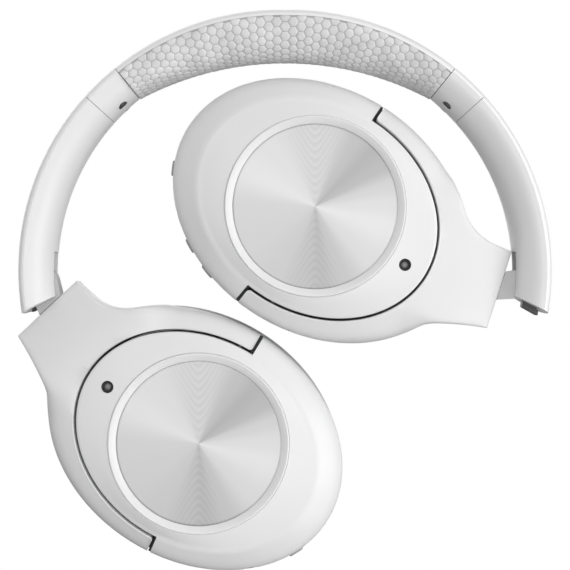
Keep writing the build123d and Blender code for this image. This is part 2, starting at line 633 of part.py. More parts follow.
def driver_frame():
    """Pressed basket of the driver, open to the ear."""
    foot = BAFFLE_FOOT + JOINT_GAP
    with BuildPart() as frame:
        with Locations(CUP.offset(foot)):
            Cylinder(DRIVER_R, DRIVER_RIM, align=ON_TOP)
        with Locations(CUP.offset(foot + DRIVER_RIM)):
            Cone(DRIVER_R, BASKET_R, BASKET_DEEP, align=ON_TOP)
        with Locations(CUP.offset(foot)):
            Cylinder(DRIVER_R - BASKET_WALL, DRIVER_RIM, align=ON_TOP, mode=Mode.SUBTRACT)
        with Locations(CUP.offset(foot + DRIVER_RIM)):
            Cone(
                DRIVER_R - 1.5 * BASKET_WALL,
                BASKET_R - BASKET_WALL,
                BASKET_DEEP - BASKET_WALL,
                align=ON_TOP,
                mode=Mode.SUBTRACT,
            )
    return frame.part


def driver_magnet():
    with BuildPart() as magnet:
        with Locations(CUP.offset(BAFFLE_FOOT + 2 * JOINT_GAP + DRIVER_RIM + BASKET_DEEP)):
            Cylinder(MAGNET_R, MAGNET_HIGH, align=ON_TOP)
        fillet(magnet.edges().filter_by(GeomType.CIRCLE), MAGNET_EDGE)
    return magnet.part


def diaphragm():
    """Thin shallow cone in a flat surround."""
    with BuildPart() as cone:
        with Locations(CUP.offset(BAFFLE_FOOT + 3 * FILM_THICK)):
            Cylinder(DRIVER_R - BASKET_WALL - GAP, FILM_THICK, align=ON_TOP)
            Cone(CONE_WIDE, CONE_TOP, CONE_DEEP, align=ON_TOP)
        with Locations(CUP.offset(BAFFLE_FOOT + 2 * FILM_THICK)):
            Cone(CONE_WIDE, CONE_TOP, CONE_DEEP, align=ON_TOP, mode=Mode.SUBTRACT)
    return cone.part


def ear_pad():
    """Soft ring round the ear, flat where it is stitched to the baffle and rounded at the skin."""
    with BuildPart() as pad:
        extrude(oval(PAD_A, PAD_B, OUT_X, PAD_FOOT), amount=PAD_TOP - PAD_FOOT)
        extrude(oval(PAD_HOLE_A, PAD_HOLE_B, OUT_X, PAD_FOOT), amount=FAR, mode=Mode.SUBTRACT)
        fillet(pad.faces().sort_by(Axis.Y)[-1].edges(), PAD_EDGE)
    return pad.part


def ear_mesh():
    """Acoustic cloth stretched over the driver."""
    with BuildPart() as cloth:
        outline = oval(PAD_HOLE_A - MESH_GAP, PAD_HOLE_B - MESH_GAP, OUT_X, PAD_TOP - MESH_THICK)
        extrude(outline, amount=MESH_THICK)
    return cloth.part


def circuit_board():
    with BuildPart() as board:
        extrude(oval(OVAL_A - BOARD_IN, OVAL_B - BOARD_IN, OVAL_X, BOARD_DEPTH), amount=BOARD_THICK)
    return board.part


def battery():
    """Flat pouch cell behind the disc."""
    with BuildPart() as cell:
        with BuildSketch(CUP.offset(CELL_DEPTH)):
            RectangleRounded(CELL_LONG, CELL_WIDE, CELL_CORNER)
        extrude(amount=CELL_THICK)
        fillet(cell.edges().group_by(Axis.Y)[0], CELL_EDGE)
    return cell.part


def usb_port():
    """Folded metal shell of the charging socket, with its contact tongue."""
    mouth = rim_plane(PORT_TURN["left"], RIM_DEPTH).offset(-PORT_IN)
    with BuildPart() as port:
        with BuildSketch(mouth):
            RectangleRounded(PORT_WIDE, PORT_HIGH, PORT_CORNER)
        extrude(amount=-PORT_LONG)
        with BuildSketch(mouth):
            RectangleRounded(PORT_WIDE - 2 * PORT_WALL, PORT_HIGH - 2 * PORT_WALL, PORT_CORNER - PORT_WALL)
            Rectangle(TONGUE_WIDE, TONGUE_THICK, mode=Mode.SUBTRACT)
        extrude(amount=2 * PORT_WALL - PORT_LONG, mode=Mode.SUBTRACT)
    return port.part


def audio_jack():
    """Socket for a 3.5 mm plug."""
    mouth = rim_plane(PORT_TURN["right"], RIM_DEPTH).offset(-JACK_IN)
    with BuildPart() as jack:
        with Locations(mouth):
            Cylinder(JACK_R, JACK_LONG, align=BELOW)
            Cylinder(JACK_BORE, JACK_LONG - JACK_END, align=BELOW, mode=Mode.SUBTRACT)
    return jack.part


# ---- write every piece -------------------------------------------------------------------------------
place(over_crown(strip_section(SHELL_IN)), "headband_shell")
place(over_crown(flat_section(SPRING_IN, SPRING_OUT, SPRING_HALF)), "spring_band")
place(headband_core(), "headband_core")
place(headband_pad(), "headband_pad")
place(sleeve_screws(), "sleeve_screws")

for side in SIDES:
    place(end_sleeve(), "end_sleeve", side)
    place(rail_path(RAIL_UP, RAIL_DOWN), "slider_rail", side)
    place(arm_strip(), "arm_strip", side)
    place(arm_body(), "arm_body", side)
    place(fold_pin(), "fold_pin", side)

    place(knuckle(), "knuckle", side, folds=True)
    place(swivel_bolt(), "swivel_bolt", side, folds=True)
    place(swivel_clip(), "swivel_clip", side, folds=True)

    place(yoke(), "yoke", side, folds=True)
    place(pivot_pins(), "pivot_pins", side, folds=True)

    place(cup_shell(side), "cup_shell", side, folds=True)
    place(bezel(), "disc_rim", side, folds=True)
    place(disc(), "disc", side, folds=True)
    place(mic_cap(), "mic_cap", side, folds=True)
    place(baffle(), "baffle", side, folds=True)
    place(housing_screws(), "housing_screws", side, folds=True)
    place(driver_frame(), "driver_frame", side, folds=True)
    place(driver_magnet(), "driver_magnet", side, folds=True)
    place(diaphragm(), "diaphragm", side, folds=True)
    place(ear_pad(), "ear_pad", side, folds=True)
    place(ear_mesh(), "ear_mesh", side, folds=True)
    place(circuit_board(), "circuit_board", side, folds=True)
    for name, turn in BUTTONS[side].items():
        place(button(turn), name, side, folds=True)

place(battery(), "battery", "left", folds=True)
place(usb_port(), "usb_port", "left", folds=True)
place(audio_jack(), "audio_jack", "right", folds=True)
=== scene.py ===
"""Looks of folding over-ear headphones: white mouldings, spun discs, soft cushions and a hexagon pad."""
import json
from math import acos, atan2, cos, degrees, hypot, inf, pi, radians, sin, sqrt

import bmesh
import bpy
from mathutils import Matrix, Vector

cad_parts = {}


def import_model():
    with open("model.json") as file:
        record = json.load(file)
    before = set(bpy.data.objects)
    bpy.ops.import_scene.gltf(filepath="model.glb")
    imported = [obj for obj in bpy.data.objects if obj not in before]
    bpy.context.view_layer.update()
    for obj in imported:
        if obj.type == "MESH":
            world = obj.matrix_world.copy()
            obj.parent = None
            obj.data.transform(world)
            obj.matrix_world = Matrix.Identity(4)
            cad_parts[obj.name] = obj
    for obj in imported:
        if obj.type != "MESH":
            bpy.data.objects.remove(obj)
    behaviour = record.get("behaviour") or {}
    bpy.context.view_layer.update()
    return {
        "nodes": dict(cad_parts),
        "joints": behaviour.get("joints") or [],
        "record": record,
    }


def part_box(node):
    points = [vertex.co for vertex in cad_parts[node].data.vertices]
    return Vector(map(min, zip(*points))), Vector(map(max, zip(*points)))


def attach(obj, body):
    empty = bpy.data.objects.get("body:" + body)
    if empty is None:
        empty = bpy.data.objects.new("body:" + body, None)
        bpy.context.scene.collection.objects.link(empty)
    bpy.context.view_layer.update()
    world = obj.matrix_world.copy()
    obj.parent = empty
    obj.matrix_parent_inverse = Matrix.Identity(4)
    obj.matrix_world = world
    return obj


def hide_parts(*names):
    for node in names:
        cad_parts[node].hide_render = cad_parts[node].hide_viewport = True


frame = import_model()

MM = 0.001
SIDES = ("left", "right")
JOINTS = {joint["name"]: joint for joint in frame["joints"]}

# ---- sizes in millimetres, as in the frame ----
ARC_X = 1.8  # the side arcs of the headband are centred this far either side of the middle
BAND_OUT, BAND_SEAM, BAND_IN = 83.3, 80.5, 71.3  # radii of outer face, strip's seam and inner face
BAND_HALF, BEVEL_HALF, BEVEL_DROP = 14.0, 9.8, 0.9  # half depth; half the flat outer face; bevel's fall
STRIP_LIFT = 0.03  # the outer strip sits this far off the body under it, so that the seam shows
STRIP_ROUND = 0.95  # 1 would give the strip the section of half an ellipse, 0 a square one
STRIP_EDGE = 0.12  # width of the softened edge round a strip's end
PAD_END, SPLIT, END_SLOPE = 39.1, 48.1, 28.0  # degrees: pad to sleeve, sleeve to arm, slope of the arm's end
SLEEVE_FROM, SLEEVE_TO, ARM_FROM = PAD_END + 0.1, SPLIT - 0.06, SPLIT + 0.05  # with thin seams between
LINER_INSET = 0.25  # the dark plates in the seams stay this far inside the surface
PAD_CROWN = 67.1  # height of the pad's inner face at the crown, from the centre of the band's arc
CROWN_SEAM = 80.1  # radius of the seam between the crown pad and the shell over it
SHELL_LOW, SHELL_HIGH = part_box("headband_shell")
BAND = (SHELL_LOW + SHELL_HIGH) / 2  # centre of the band's arc
BAND.z = SHELL_HIGH.z - BAND_OUT * MM
HINGE = (Vector(JOINTS["left_fold"]["pos_m"]) - BAND) / MM  # from the centre of the band's arc
ARM_DROP = 6.0  # from the fold hinge down to the arm's end face
SLOT_HALF, SLOT_TOP, SLOT_OUT, SLOT_PAST = 4.9, 9.2, 5.3, 20  # slot in the arm's foot, from the hinge
LIP_IN, LIP_OUT, LIP_FRONT, LIP_BACK, LIP_START = 75.8, 81.2, -3.0, -9.0, 88.0  # end of the spring strip
LIP_DROP = {"left": 1.3, "right": 0.5}  # degrees past the arm's end; the right cup folds closer to it

OVAL = (40.05, 32.4, 0.6)  # half length, half width and centre of the raised oval
OUTLINE = (49.6, 38.8, 1.7)  # the same of the widest outline of cup and yoke
RING_GAP = 0.8  # between the oval and the yoke
SLOPE_DROP = 4.0  # fall of the sloping band outside the oval, at the yoke's tips
DOME_TOP, OVAL_TOP, RING_TOP, SHOULDER = 16.2, 14.0, 13.5, 5.5  # depths, down the face
RING_FOOT, LEDGE, HOUSING_FOOT = 0.5, -3.9, -6.0  # depths, under the yoke and behind
FACE_TOP, DISC_R, BEZEL_R = 16.8, 25.9, 28.4  # depth of the disc's ring; radii of the disc and the ring
TIP_HIGH, TIP_LOW, TIP_GAP = 88.0, -96.0, 1.7  # degrees: the yoke's tips and the slit beyond each
LAP = 0.06  # degrees by which a painted-shade block runs into the wall it lines
TIP_ROUND = 1.1  # radius of the tips' inner corners
MIC_X, MIC_R, MIC_WELL = 33.6, 1.95, 2.0  # microphone port: place, radius and how deep it is cut
RIM_DEPTH, BUTTON_LONG, BUTTON_WIDE = 4.2, 5.0, 3.0
BUTTONS = {  # degrees round the cup
    "left": {"power_button": 201.0, "volume_up_button": 235.0, "volume_down_button": 247.0},
    "right": {"noise_cancel_button": 201.0},
}
PORT_TURN = {"left": 180.0, "right": 222.0}
PORT_HOLE = {
    "left": {"long": 9.3, "wide": 3.5, "deep": 8.3, "power": 4.0},
    "right": {"long": 6.2, "wide": 6.2, "deep": 9.6, "power": 2.0},
}
SCREW_ANGLE, SCREW_DEPTH, SCREW_SEAT, SCREW_WELL_R = 43.4, 6.4, 74.6, 1.5  # screws in the sleeve's inner face
WELL_STEPS, WELL_WALL = 32, 0.22
NECK_TURN, NECK_X, NECK_Y = 15.1, 63.7, 10.35  # the neck's end face: its direction and its middle
NECK_WIDE, NECK_HALF = 26.0, 5.6  # its width and half depth
PAD_TOP, PAD_FOOT = -8.15, -23.5  # depths of the ear cushion
PAD_A, PAD_B, PAD_HOLE_A, PAD_HOLE_B = 49.6, 39.6, 30.0, 20.5  # half sizes of the cushion and its hole


# ---- mesh helpers ----
def smoothstep(low, high, value):
    share = min(1.0, max(0.0, (value - low) / (high - low)))
    return share * share * (3 - 2 * share)


def lerp(a, b, share):
    return a + (b - a) * share


def steps(low, high, count):
    return [lerp(low, high, index / count) for index in range(count + 1)]


def finished(made, name):
    """The mesh of a bmesh, which is freed."""
    mesh = bpy.data.meshes.new(name)
    made.to_mesh(mesh)
    made.free()
    return mesh


def grid(name, rows, ring=False, caps=False):
    """Mesh through closed rows of as many points each. `ring` joins the last row to the first."""
    made = bmesh.new()
    verts = [[made.verts.new(point) for point in row] for row in rows]
    count, width = len(rows), len(rows[0])
    for i in range(count if ring else count - 1):
        for j in range(width):
            near, far = verts[i], verts[(i + 1) % count]
            made.faces.new((near[j], near[(j + 1) % width], far[(j + 1) % width], far[j]))
    if caps:
        made.faces.new(verts[0])
        made.faces.new(verts[-1][::-1])
    bmesh.ops.remove_doubles(made, verts=made.verts, dist=1e-7)
    bmesh.ops.dissolve_degenerate(made, edges=made.edges, dist=1e-7)
    bmesh.ops.recalc_face_normals(made, faces=made.faces)
    return finished(made, name)


def placed(name, data):
    """A new object in the scene that shows this mesh, lamp or camera."""
    made = bpy.data.objects.new(name, data)
    bpy.context.scene.collection.objects.link(made)
    return made


def piece(mesh, body, look, *replaced, sharp=38.0, bevel=0.0):
    """Puts a mesh in the scene on its body, with its material, smooth shading and softened corners."""
    made = placed(mesh.name, mesh)
    for face in mesh.polygons:
        face.use_smooth = True
    mesh.set_sharp_from_angle(angle=radians(sharp))
    mesh.materials.append(MATERIALS[look])
    if bevel:
        soften = made.modifiers.new("soften", "BEVEL")
        soften.width = bevel * MM
        soften.segments = 2
        soften.limit_method = "ANGLE"
        soften.angle_limit = radians(sharp)
        soften.harden_normals = True
    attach(made, body)
    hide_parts(*replaced)
    return made


# ---- material helpers ----
class Recipe:
    """A node material under construction."""

    def __init__(self, name, **principled):
        self.material = bpy.data.materials.new(name)
        self.material.use_nodes = True
        self.nodes = self.material.node_tree.nodes
        self.shader = self.nodes["Principled BSDF"]
        for key, value in principled.items():
            self.shader.inputs[key.title()].default_value = value

    def link(self, source, target):
        self.material.node_tree.links.new(source, target)

    def math(self, operation, a, b=0.0, c=0.0):
        made = self.nodes.new("ShaderNodeMath")
        made.operation = operation
        for socket, value in zip(made.inputs, (a, b, c)):
            if isinstance(value, bpy.types.NodeSocket):
                self.link(value, socket)
            else:
                socket.default_value = value
        return made.outputs[0]

    def plus(self, a, b):
        return self.math("ADD", a, b)

    def minus(self, a, b):
        return self.math("SUBTRACT", a, b)

    def times(self, a, b):
        return self.math("MULTIPLY", a, b)

    def place(self):
        return self.nodes.new("ShaderNodeTexCoord").outputs["Object"]

    def noise(self, scale, detail, roughness=0.5):
        made = self.nodes.new("ShaderNodeTexNoise")
        made.inputs["Scale"].default_value = scale
        made.inputs["Detail"].default_value = detail
        made.inputs["Roughness"].default_value = roughness
        self.link(self.place(), made.inputs["Vector"])
        return made.outputs["Fac"]

    def ramp(self, value, low, high, colour_low, colour_high):
        made = self.nodes.new("ShaderNodeValToRGB")
        made.color_ramp.elements[0].position = low
        made.color_ramp.elements[1].position = high
        made.color_ramp.elements[0].color = (*colour_low, 1)
        made.color_ramp.elements[1].color = (*colour_high, 1)
        self.link(value, made.inputs["Fac"])
        return made.outputs["Color"]

    def bump(self, height, strength, distance):
        made = self.nodes.new("ShaderNodeBump")
        made.inputs["Strength"].default_value = strength
        made.inputs["Distance"].default_value = distance
        self.link(height, made.inputs["Height"])
        self.link(made.outputs["Normal"], self.shader.inputs["Normal"])


def grey(level):
    return (level, level, level)


def moulded(name, level, roughness):
    """Injection-moulded plastic: a fine grain, slightly uneven sheen and a faint cloud in its colour."""
    recipe = Recipe(name)
    colour = recipe.ramp(recipe.noise(40.0, 2.0), 0.3, 0.7, grey(level * 0.975), grey(level))
    recipe.link(colour, recipe.shader.inputs["Base Color"])
    sheen = recipe.math("MULTIPLY_ADD", recipe.noise(220.0, 2.0), 0.10, roughness - 0.05)
    recipe.link(sheen, recipe.shader.inputs["Roughness"])
    recipe.bump(recipe.noise(1800.0, 2.0), 0.25, 0.004 * MM)
    return recipe.material


PAINTED_FAN = (  # (degrees round the disc, brightness) of the painted reflection: the light that fans out over the turned metal, painted into its colour
    (-180, 0.66), (-150, 0.64), (-120, 0.60), (-100, 0.53), (-85, 0.48), (-68, 0.56),
    (-45, 0.71), (-15, 0.80), (2, 0.74), (16, 0.66), (30, 0.50), (44, 0.46),
    (58, 0.53), (78, 0.65), (98, 0.66), (125, 0.74), (152, 0.78), (180, 0.66),
)
PAINTED_FAN_GAIN = 0.80  # from the brightness wanted to the colour that carries the painted reflection
# the chevrons are painted bands of reflection, laid into the disc's colour above and below its middle
RING_PITCH, CHEVRON_PITCH = 0.62, 2.5  # millimetres between the fine rings and between the chevrons
CHEVRON_SLOPE, CHEVRON_NOSE, WEDGE_SLOPE = 1.7, 6.0, 2.1  # how steep, how blunt and how narrow they are
PAINTED_CHEVRON_SHADE, RING_SHADE = 0.055, 0.010


def spun_metal():
    """Turned aluminium: a painted reflection fans out from the middle in a cone, with painted chevrons of
    reflection, over fine rings left by the tool.
    """
    recipe = Recipe("spun_metal", roughness=0.42, metallic=0.35)
    spot = recipe.nodes.new("ShaderNodeTexCoord").outputs["Generated"]  # 0 to 1 across the disc
    parts = recipe.nodes.new("ShaderNodeSeparateXYZ")
    recipe.link(spot, parts.inputs[0])
    x = recipe.times(recipe.minus(parts.outputs["X"], 0.5), 2 * DISC_R)
    z = recipe.times(recipe.minus(parts.outputs["Z"], 0.5), 2 * DISC_R)
    turn = recipe.plus(recipe.math("DIVIDE", recipe.math("ARCTAN2", z, x), 2 * pi), 0.5)
    # painted reflection: brightness round the disc, set as its colour
    painted_fan = recipe.nodes.new("ShaderNodeValToRGB")
    painted_fan.color_ramp.interpolation = "EASE"
    recipe.link(turn, painted_fan.inputs[0])
    stops = painted_fan.color_ramp.elements
    while len(stops) > 1:
        stops.remove(stops[-1])
    for index, (degrees_round, shade) in enumerate(PAINTED_FAN):
        stop = stops[0] if index == 0 else stops.new(degrees_round / 360 + 0.5)
        stop.position = degrees_round / 360 + 0.5
        stop.color = (*grey(shade * PAINTED_FAN_GAIN), 1)
    radius = recipe.math("SQRT", recipe.plus(recipe.times(x, x), recipe.times(z, z)))
    rings = recipe.math("SINE", recipe.times(radius, 2 * pi / RING_PITCH))
    stretched = recipe.times(x, CHEVRON_SLOPE)
    bowl = recipe.math("SQRT", recipe.plus(recipe.times(stretched, stretched), CHEVRON_NOSE))
    height = recipe.math("ABSOLUTE", z)
    chevron = recipe.math("SINE", recipe.times(recipe.minus(height, bowl), 2 * pi / CHEVRON_PITCH))
    lean = recipe.math("DIVIDE", recipe.math("ABSOLUTE", x), recipe.plus(height, 0.01))
    wedge = recipe.math("MAXIMUM", recipe.minus(1.0, recipe.times(lean, WEDGE_SLOPE)), 0.0)
    # painted reflection: chevron bands in the wedges above and below the middle
    painted_chevrons = recipe.times(recipe.times(chevron, wedge), PAINTED_CHEVRON_SHADE)
    gain = recipe.plus(recipe.plus(painted_chevrons, recipe.times(rings, RING_SHADE)), 1.0)
    scaled = recipe.nodes.new("ShaderNodeVectorMath")
    scaled.operation = "SCALE"
    recipe.link(painted_fan.outputs[0], scaled.inputs[0])
    recipe.link(gain, scaled.inputs["Scale"])
    recipe.link(scaled.outputs[0], recipe.shader.inputs["Base Color"])
    recipe.bump(rings, 0.15, 0.01 * MM)
    return recipe.material


def leatherette(name, level):
    """Coated cloth: pebbled grain over shallow creases, with a soft sheen; the sunken edges of the pebbles
    are painted darker as shade.
    """
    recipe = Recipe(name, roughness=0.46)
    pebbles = recipe.nodes.new("ShaderNodeTexVoronoi")
    pebbles.inputs["Scale"].default_value = 900.0
    recipe.link(recipe.place(), pebbles.inputs["Vector"])
    grain = pebbles.outputs["Distance"]
    # painted shade: darker towards the sunken edges of the pebbles
    colour = recipe.ramp(grain, 0.1, 0.6, grey(level), grey(level * 0.9))
    recipe.link(colour, recipe.shader.inputs["Base Color"])
    creases = recipe.times(recipe.noise(90.0, 4.0, 0.6), 3.0)
    recipe.bump(recipe.minus(creases, grain), 0.5, 0.12 * MM)
    return recipe.material


def plain(name, colour, roughness, metallic=0.0, grain=900.0):
    """Cloth, metal, film or board: a mottled colour under a fine grain."""
    recipe = Recipe(name, roughness=roughness, metallic=metallic)
    cloud = recipe.noise(grain / 6, 3.0)
    darker = tuple(channel * 0.85 for channel in colour)
    recipe.link(recipe.ramp(cloud, 0.35, 0.65, darker, colour), recipe.shader.inputs["Base Color"])
    recipe.bump(recipe.noise(grain, 2.0), 0.3, 0.01 * MM)
    return recipe.material


MATERIALS = {
    "thread": plain("thread", grey(0.50), 0.8, grain=6000.0),
    "mic_gauze": moulded("mic_gauze", 0.33, 0.6),
    "shell_white": moulded("shell_white", 0.84, 0.30),
    # whiter than shell_white: painted light on the outer strips, whose faces turn upwards
    "strip_white_painted_light": moulded("strip_white_painted_light", 0.95, 0.34),
    "satin_white": moulded("satin_white", 0.82, 0.38),
    # mid grey for the white knuckles: painted shade
    "knuckle_painted_shade": moulded("knuckle_painted_shade", 0.50, 0.45),
    # near black: partly painted shade, where the core and the lip under the arm's foot lie in shadow
    "core_plastic": moulded("core_plastic", 0.10, 0.5),
    # near black; in the gap, the slits and the screw wells it is painted shade
    "port_dark": moulded("port_dark", 0.05, 0.5),
    "button_grey": moulded("button_grey", 0.35, 0.4),
    "pad_grey_weave": plain("pad_grey_weave", grey(0.78), 0.7),
    # darker grey for the grooves between the cells: painted shade
    "pad_groove_painted_shade": plain("pad_groove_painted_shade", grey(0.46), 0.85),
    "ear_leatherette": leatherette("ear_leatherette", 0.55),
    "ear_cloth": plain("ear_cloth", grey(0.05), 0.9),
    "spun_metal": spun_metal(),
    "spring_steel": plain("spring_steel", grey(0.6), 0.3, 1.0),
    # near black for steel: painted shade, so that the pivot pins, bolts, clips and screws stay dark in the
    # shaded gap between cup and yoke
    "pin_steel": plain("pin_steel", grey(0.10), 0.35, 1.0),
    "port_metal": plain("port_metal", grey(0.5), 0.3, 1.0),
    "magnet": plain("magnet", grey(0.6), 0.2, 1.0),
    "diaphragm_film": plain("diaphragm_film", (0.2, 0.17, 0.13), 0.25),
    "board_green": plain("board_green", (0.03, 0.2, 0.08), 0.4),
    "cell_wrap": plain("cell_wrap", (0.3, 0.32, 0.36), 0.4),
}


# ---- headband and arms ----
def band_point(side, angle, radius, depth):
    """A point on the headband, `angle` degrees from the crown down one side."""
    way = 1 if side == "left" else -1
    x = ARC_X + radius * sin(radians(angle))
    return BAND + Vector((way * x, -depth, radius * cos(radians(angle)))) * MM


def strip_loop(inner):
    """Section of the outer strip: (radius, depth) points round it, flat against the body at `inner`."""
    half = BAND_HALF - 0.05  # a hair inside the body's edge
    loop = [(inner, depth) for depth in steps(-half, half, 8)]
    for turn in steps(0, 180, 30)[1:-1]:
        c, s = cos(radians(turn)), sin(radians(turn))
        way = 1 if c >= 0 else -1
        loop.append((inner + (BAND_OUT - inner) * s ** STRIP_ROUND, way * half * abs(c) ** STRIP_ROUND))
    return loop


def body_loop():
    """Section of the rounded inner body: half an ellipse, flat against the strip."""
    loop = []
    for turn in steps(0, 180, 28):
        radius = BAND_SEAM - (BAND_SEAM - BAND_IN) * sin(radians(turn))
        loop.append((radius, BAND_HALF * cos(radians(turn))))
    return loop + [(BAND_SEAM, depth) for depth in steps(-BAND_HALF, BAND_HALF, 6)[1:-1]]


def liner_loop():
    """Section just inside the band's surface, for the dark plates that show in its seams."""
    loop = []
    for turn in steps(0, 180, 28):
        radius = BAND_SEAM - (BAND_SEAM - BAND_IN - LINER_INSET) * sin(radians(turn))
        loop.append((radius, (BAND_HALF - LINER_INSET) * cos(radians(turn))))
    top, half = BAND_OUT - BEVEL_DROP - 0.1, BEVEL_HALF - 0.3
    return loop + [(top, depth) for depth in steps(-half, half, 6)]


def end_cut(radius):
    """Angle at which the arm's sloping end face cuts an arc of this radius."""
    slope = radians(END_SLOPE)
    face = HINGE.x * sin(slope) + HINGE.z * cos(slope) - ARM_DROP - ARC_X * sin(slope)
    return END_SLOPE + degrees(acos(face / radius))


def sweep(name, side, loop, start, end, count):
    """A section swept down one side of the band. `end` may be an angle or a function of the radius."""
    rows = []
    for share in steps(0, 1, count):
        row = []
        for radius, depth in loop:
            last = end(radius) if callable(end) else end
            row.append(band_point(side, lerp(start, last, share), radius, depth))
        rows.append(row)
    return grid(name, rows, caps=True)


def crown_shell():
    rows = []
    loop = strip_loop(CROWN_SEAM + 0.05)  # just off the pad
    for angle in steps(-PAD_END, PAD_END, 60):
        side = "left" if angle > 0 else "right"
        rows.append([band_point(side, abs(angle), radius, depth) for radius, depth in loop])
    mesh = grid("crown_shell", rows, caps=True)
    piece(mesh, "headband", "strip_white_painted_light", "headband_shell", bevel=STRIP_EDGE)


def slot_cutter(side):
    """Box that opens the arm's foot for the knuckle."""
    way = 1 if side == "left" else -1
    low = Vector((HINGE.x - SLOT_PAST, -SLOT_HALF, HINGE.z - SLOT_PAST))
    high = Vector((HINGE.x + SLOT_OUT, SLOT_HALF, HINGE.z + SLOT_TOP))
    rows = []
    for z in (low.z, high.z):
        corners = ((low.x, low.y), (high.x, low.y), (high.x, high.y), (low.x, high.y))
        rows.append([BAND + Vector((way * x, y, z)) * MM for x, y in corners])
    return grid(f"{side}_slot", rows, caps=True)


def subtract(target, cutter_mesh):
    """Cuts one mesh out of another for good."""
    cutter = placed(cutter_mesh.name, cutter_mesh)
    cut = target.modifiers.new("cut", "BOOLEAN")
    cut.object = cutter
    cut.operation = "DIFFERENCE"
    cut.solver = "EXACT"
    graph = bpy.context.evaluated_depsgraph_get()
    result = bpy.data.meshes.new_from_object(target.evaluated_get(graph))
    target.modifiers.remove(cut)
    bpy.data.objects.remove(cutter)
    return result


def screw_ring(side, depth, radius, wide):
    """Circle of points round a screw's axis, `radius` from the centre of the band's arc."""
    seat = band_point(side, SCREW_ANGLE, radius, depth)
    out = (band_point(side, SCREW_ANGLE, radius + 1, depth) - seat).normalized()
    along = Vector((out.z, 0, -out.x))
    row = []
    for step in range(WELL_STEPS):
        angle = 2 * pi * step / WELL_STEPS
        row.append(seat + (along * cos(angle) + Vector((0, sin(angle), 0))) * wide * MM)
    return row


def screw_well(side, depth):
    """Cylinder that opens the sleeve's inner face down to a screw's head."""
    rows = [screw_ring(side, depth, radius, SCREW_WELL_R) for radius in (BAND_IN - 4, SCREW_SEAT - 0.4)]
    return grid("well", rows, caps=True)


def well_painted_shade(side, depth):
    """Near-black sleeve round the wall of a screw's well: painted shade in the recess."""
    bottom, mouth = SCREW_SEAT - 0.5, BAND_IN + 0.75
    outer = SCREW_WELL_R + 0.1
    inner = outer - WELL_WALL
    corners = ((bottom, outer), (mouth, outer), (mouth, inner), (bottom, inner))
    rows = [screw_ring(side, depth, radius, wide) for radius, wide in corners]
    return grid(f"{side}_well_painted_shade", rows, ring=True)


def sleeve(side):
    """Sleeve between the crown pad and the arm: its body with the screws' wells, and its outer strip."""
    blank = placed("blank", sweep("blank", side, body_loop(), SLEEVE_FROM, SLEEVE_TO, 10))
    for depth in (SCREW_DEPTH, -SCREW_DEPTH):
        blank.data = subtract(blank, screw_well(side, depth))
        piece(well_painted_shade(side, depth), "headband", "port_dark")
    body = blank.data
    bpy.data.objects.remove(blank)
    body.name = f"{side}_sleeve"
    piece(body, "headband", "satin_white", f"{side}_end_sleeve", bevel=0.2)
    loop = strip_loop(BAND_SEAM + STRIP_LIFT)
    cap = sweep(f"{side}_sleeve_strip", side, loop, SLEEVE_FROM, SLEEVE_TO, 10)
    piece(cap, "headband", "strip_white_painted_light", bevel=STRIP_EDGE)


def seam_liners(side):
    """Dark plates that show in the seams at both ends of the sleeve."""
    for seam, start, end in (("pad", PAD_END - 0.5, PAD_END + 0.5), ("arm", SPLIT - 0.5, SPLIT + 0.02)):
        liner = sweep(f"{side}_{seam}_liner", side, liner_loop(), start, end, 2)
        piece(liner, "headband", "port_dark")


def arm(side):
    """Sliding arm: its outer strip, its forked body and the end of the spring strip under its foot."""
    strip = sweep(f"{side}_outer_strip", side, strip_loop(BAND_SEAM + STRIP_LIFT), ARM_FROM, end_cut, 60)
    piece(strip, f"{side}_arm", "strip_white_painted_light", f"{side}_arm_strip", bevel=STRIP_EDGE)
    blank = placed("blank", sweep(f"{side}_arm_whole", side, body_loop(), ARM_FROM, end_cut, 60))
    forked = subtract(blank, slot_cutter(side))
    bpy.data.objects.remove(blank)
    forked.name = f"{side}_arm_fork"
    piece(forked, f"{side}_arm", "satin_white", f"{side}_arm_body", bevel=0.22)
    loop = [(LIP_IN, LIP_FRONT), (LIP_OUT, LIP_FRONT), (LIP_OUT, LIP_BACK), (LIP_IN, LIP_BACK)]
    # the lip's near-black colour partly stands as painted shade under the arm's foot
    lip = sweep(
        f"{side}_foot_lip", side, loop, LIP_START, lambda radius: end_cut(radius) + LIP_DROP[side], 8
    )
    piece(lip, f"{side}_arm", "core_plastic", bevel=0.3)


# ---- crown pad ----
CELL = 3.06  # hexagon pitch across flats
PAD_SQUARE = 2.25  # how square the cushion's section is: 2 would be an ellipse
PAD_HALF = 14.3  # half depth of the pad
CELL_RINGS = (  # (share of the way to a cell's edge, lift) from its middle down into the groove
    (0.0, 0.30), (0.45, 0.28), (0.70, 0.23), (0.86, 0.13), (0.97, -0.03),
)


def pad_arc():
    """Centre height and radius of the pad's inner face, an arc through the crown and both ends."""
    end_x = ARC_X + (BAND_IN + 0.2) * sin(radians(PAD_END))
    end_z = (BAND_IN + 0.2) * cos(radians(PAD_END))
    rise = PAD_CROWN - end_z
    radius = (end_x ** 2 + rise ** 2) / (2 * rise)
    return PAD_CROWN - radius, radius


def pad_station(along):
    """Seat point, outward direction and thickness of the pad, `along` millimetres from the crown."""
    angle = max(0.0, abs(along) - ARC_X) / CROWN_SEAM
    way = 1 if along >= 0 else -1
    outward = Vector((way * sin(angle), 0, cos(angle)))
    seat = outward * CROWN_SEAM + Vector((way * min(abs(along), ARC_X), 0, 0))
    centre_z, radius = pad_arc()
    offset = seat - Vector((0, 0, centre_z))
    across = offset.dot(outward)
    thick = across - sqrt(across ** 2 - offset.length_squared + radius ** 2)
    return seat, outward, thick


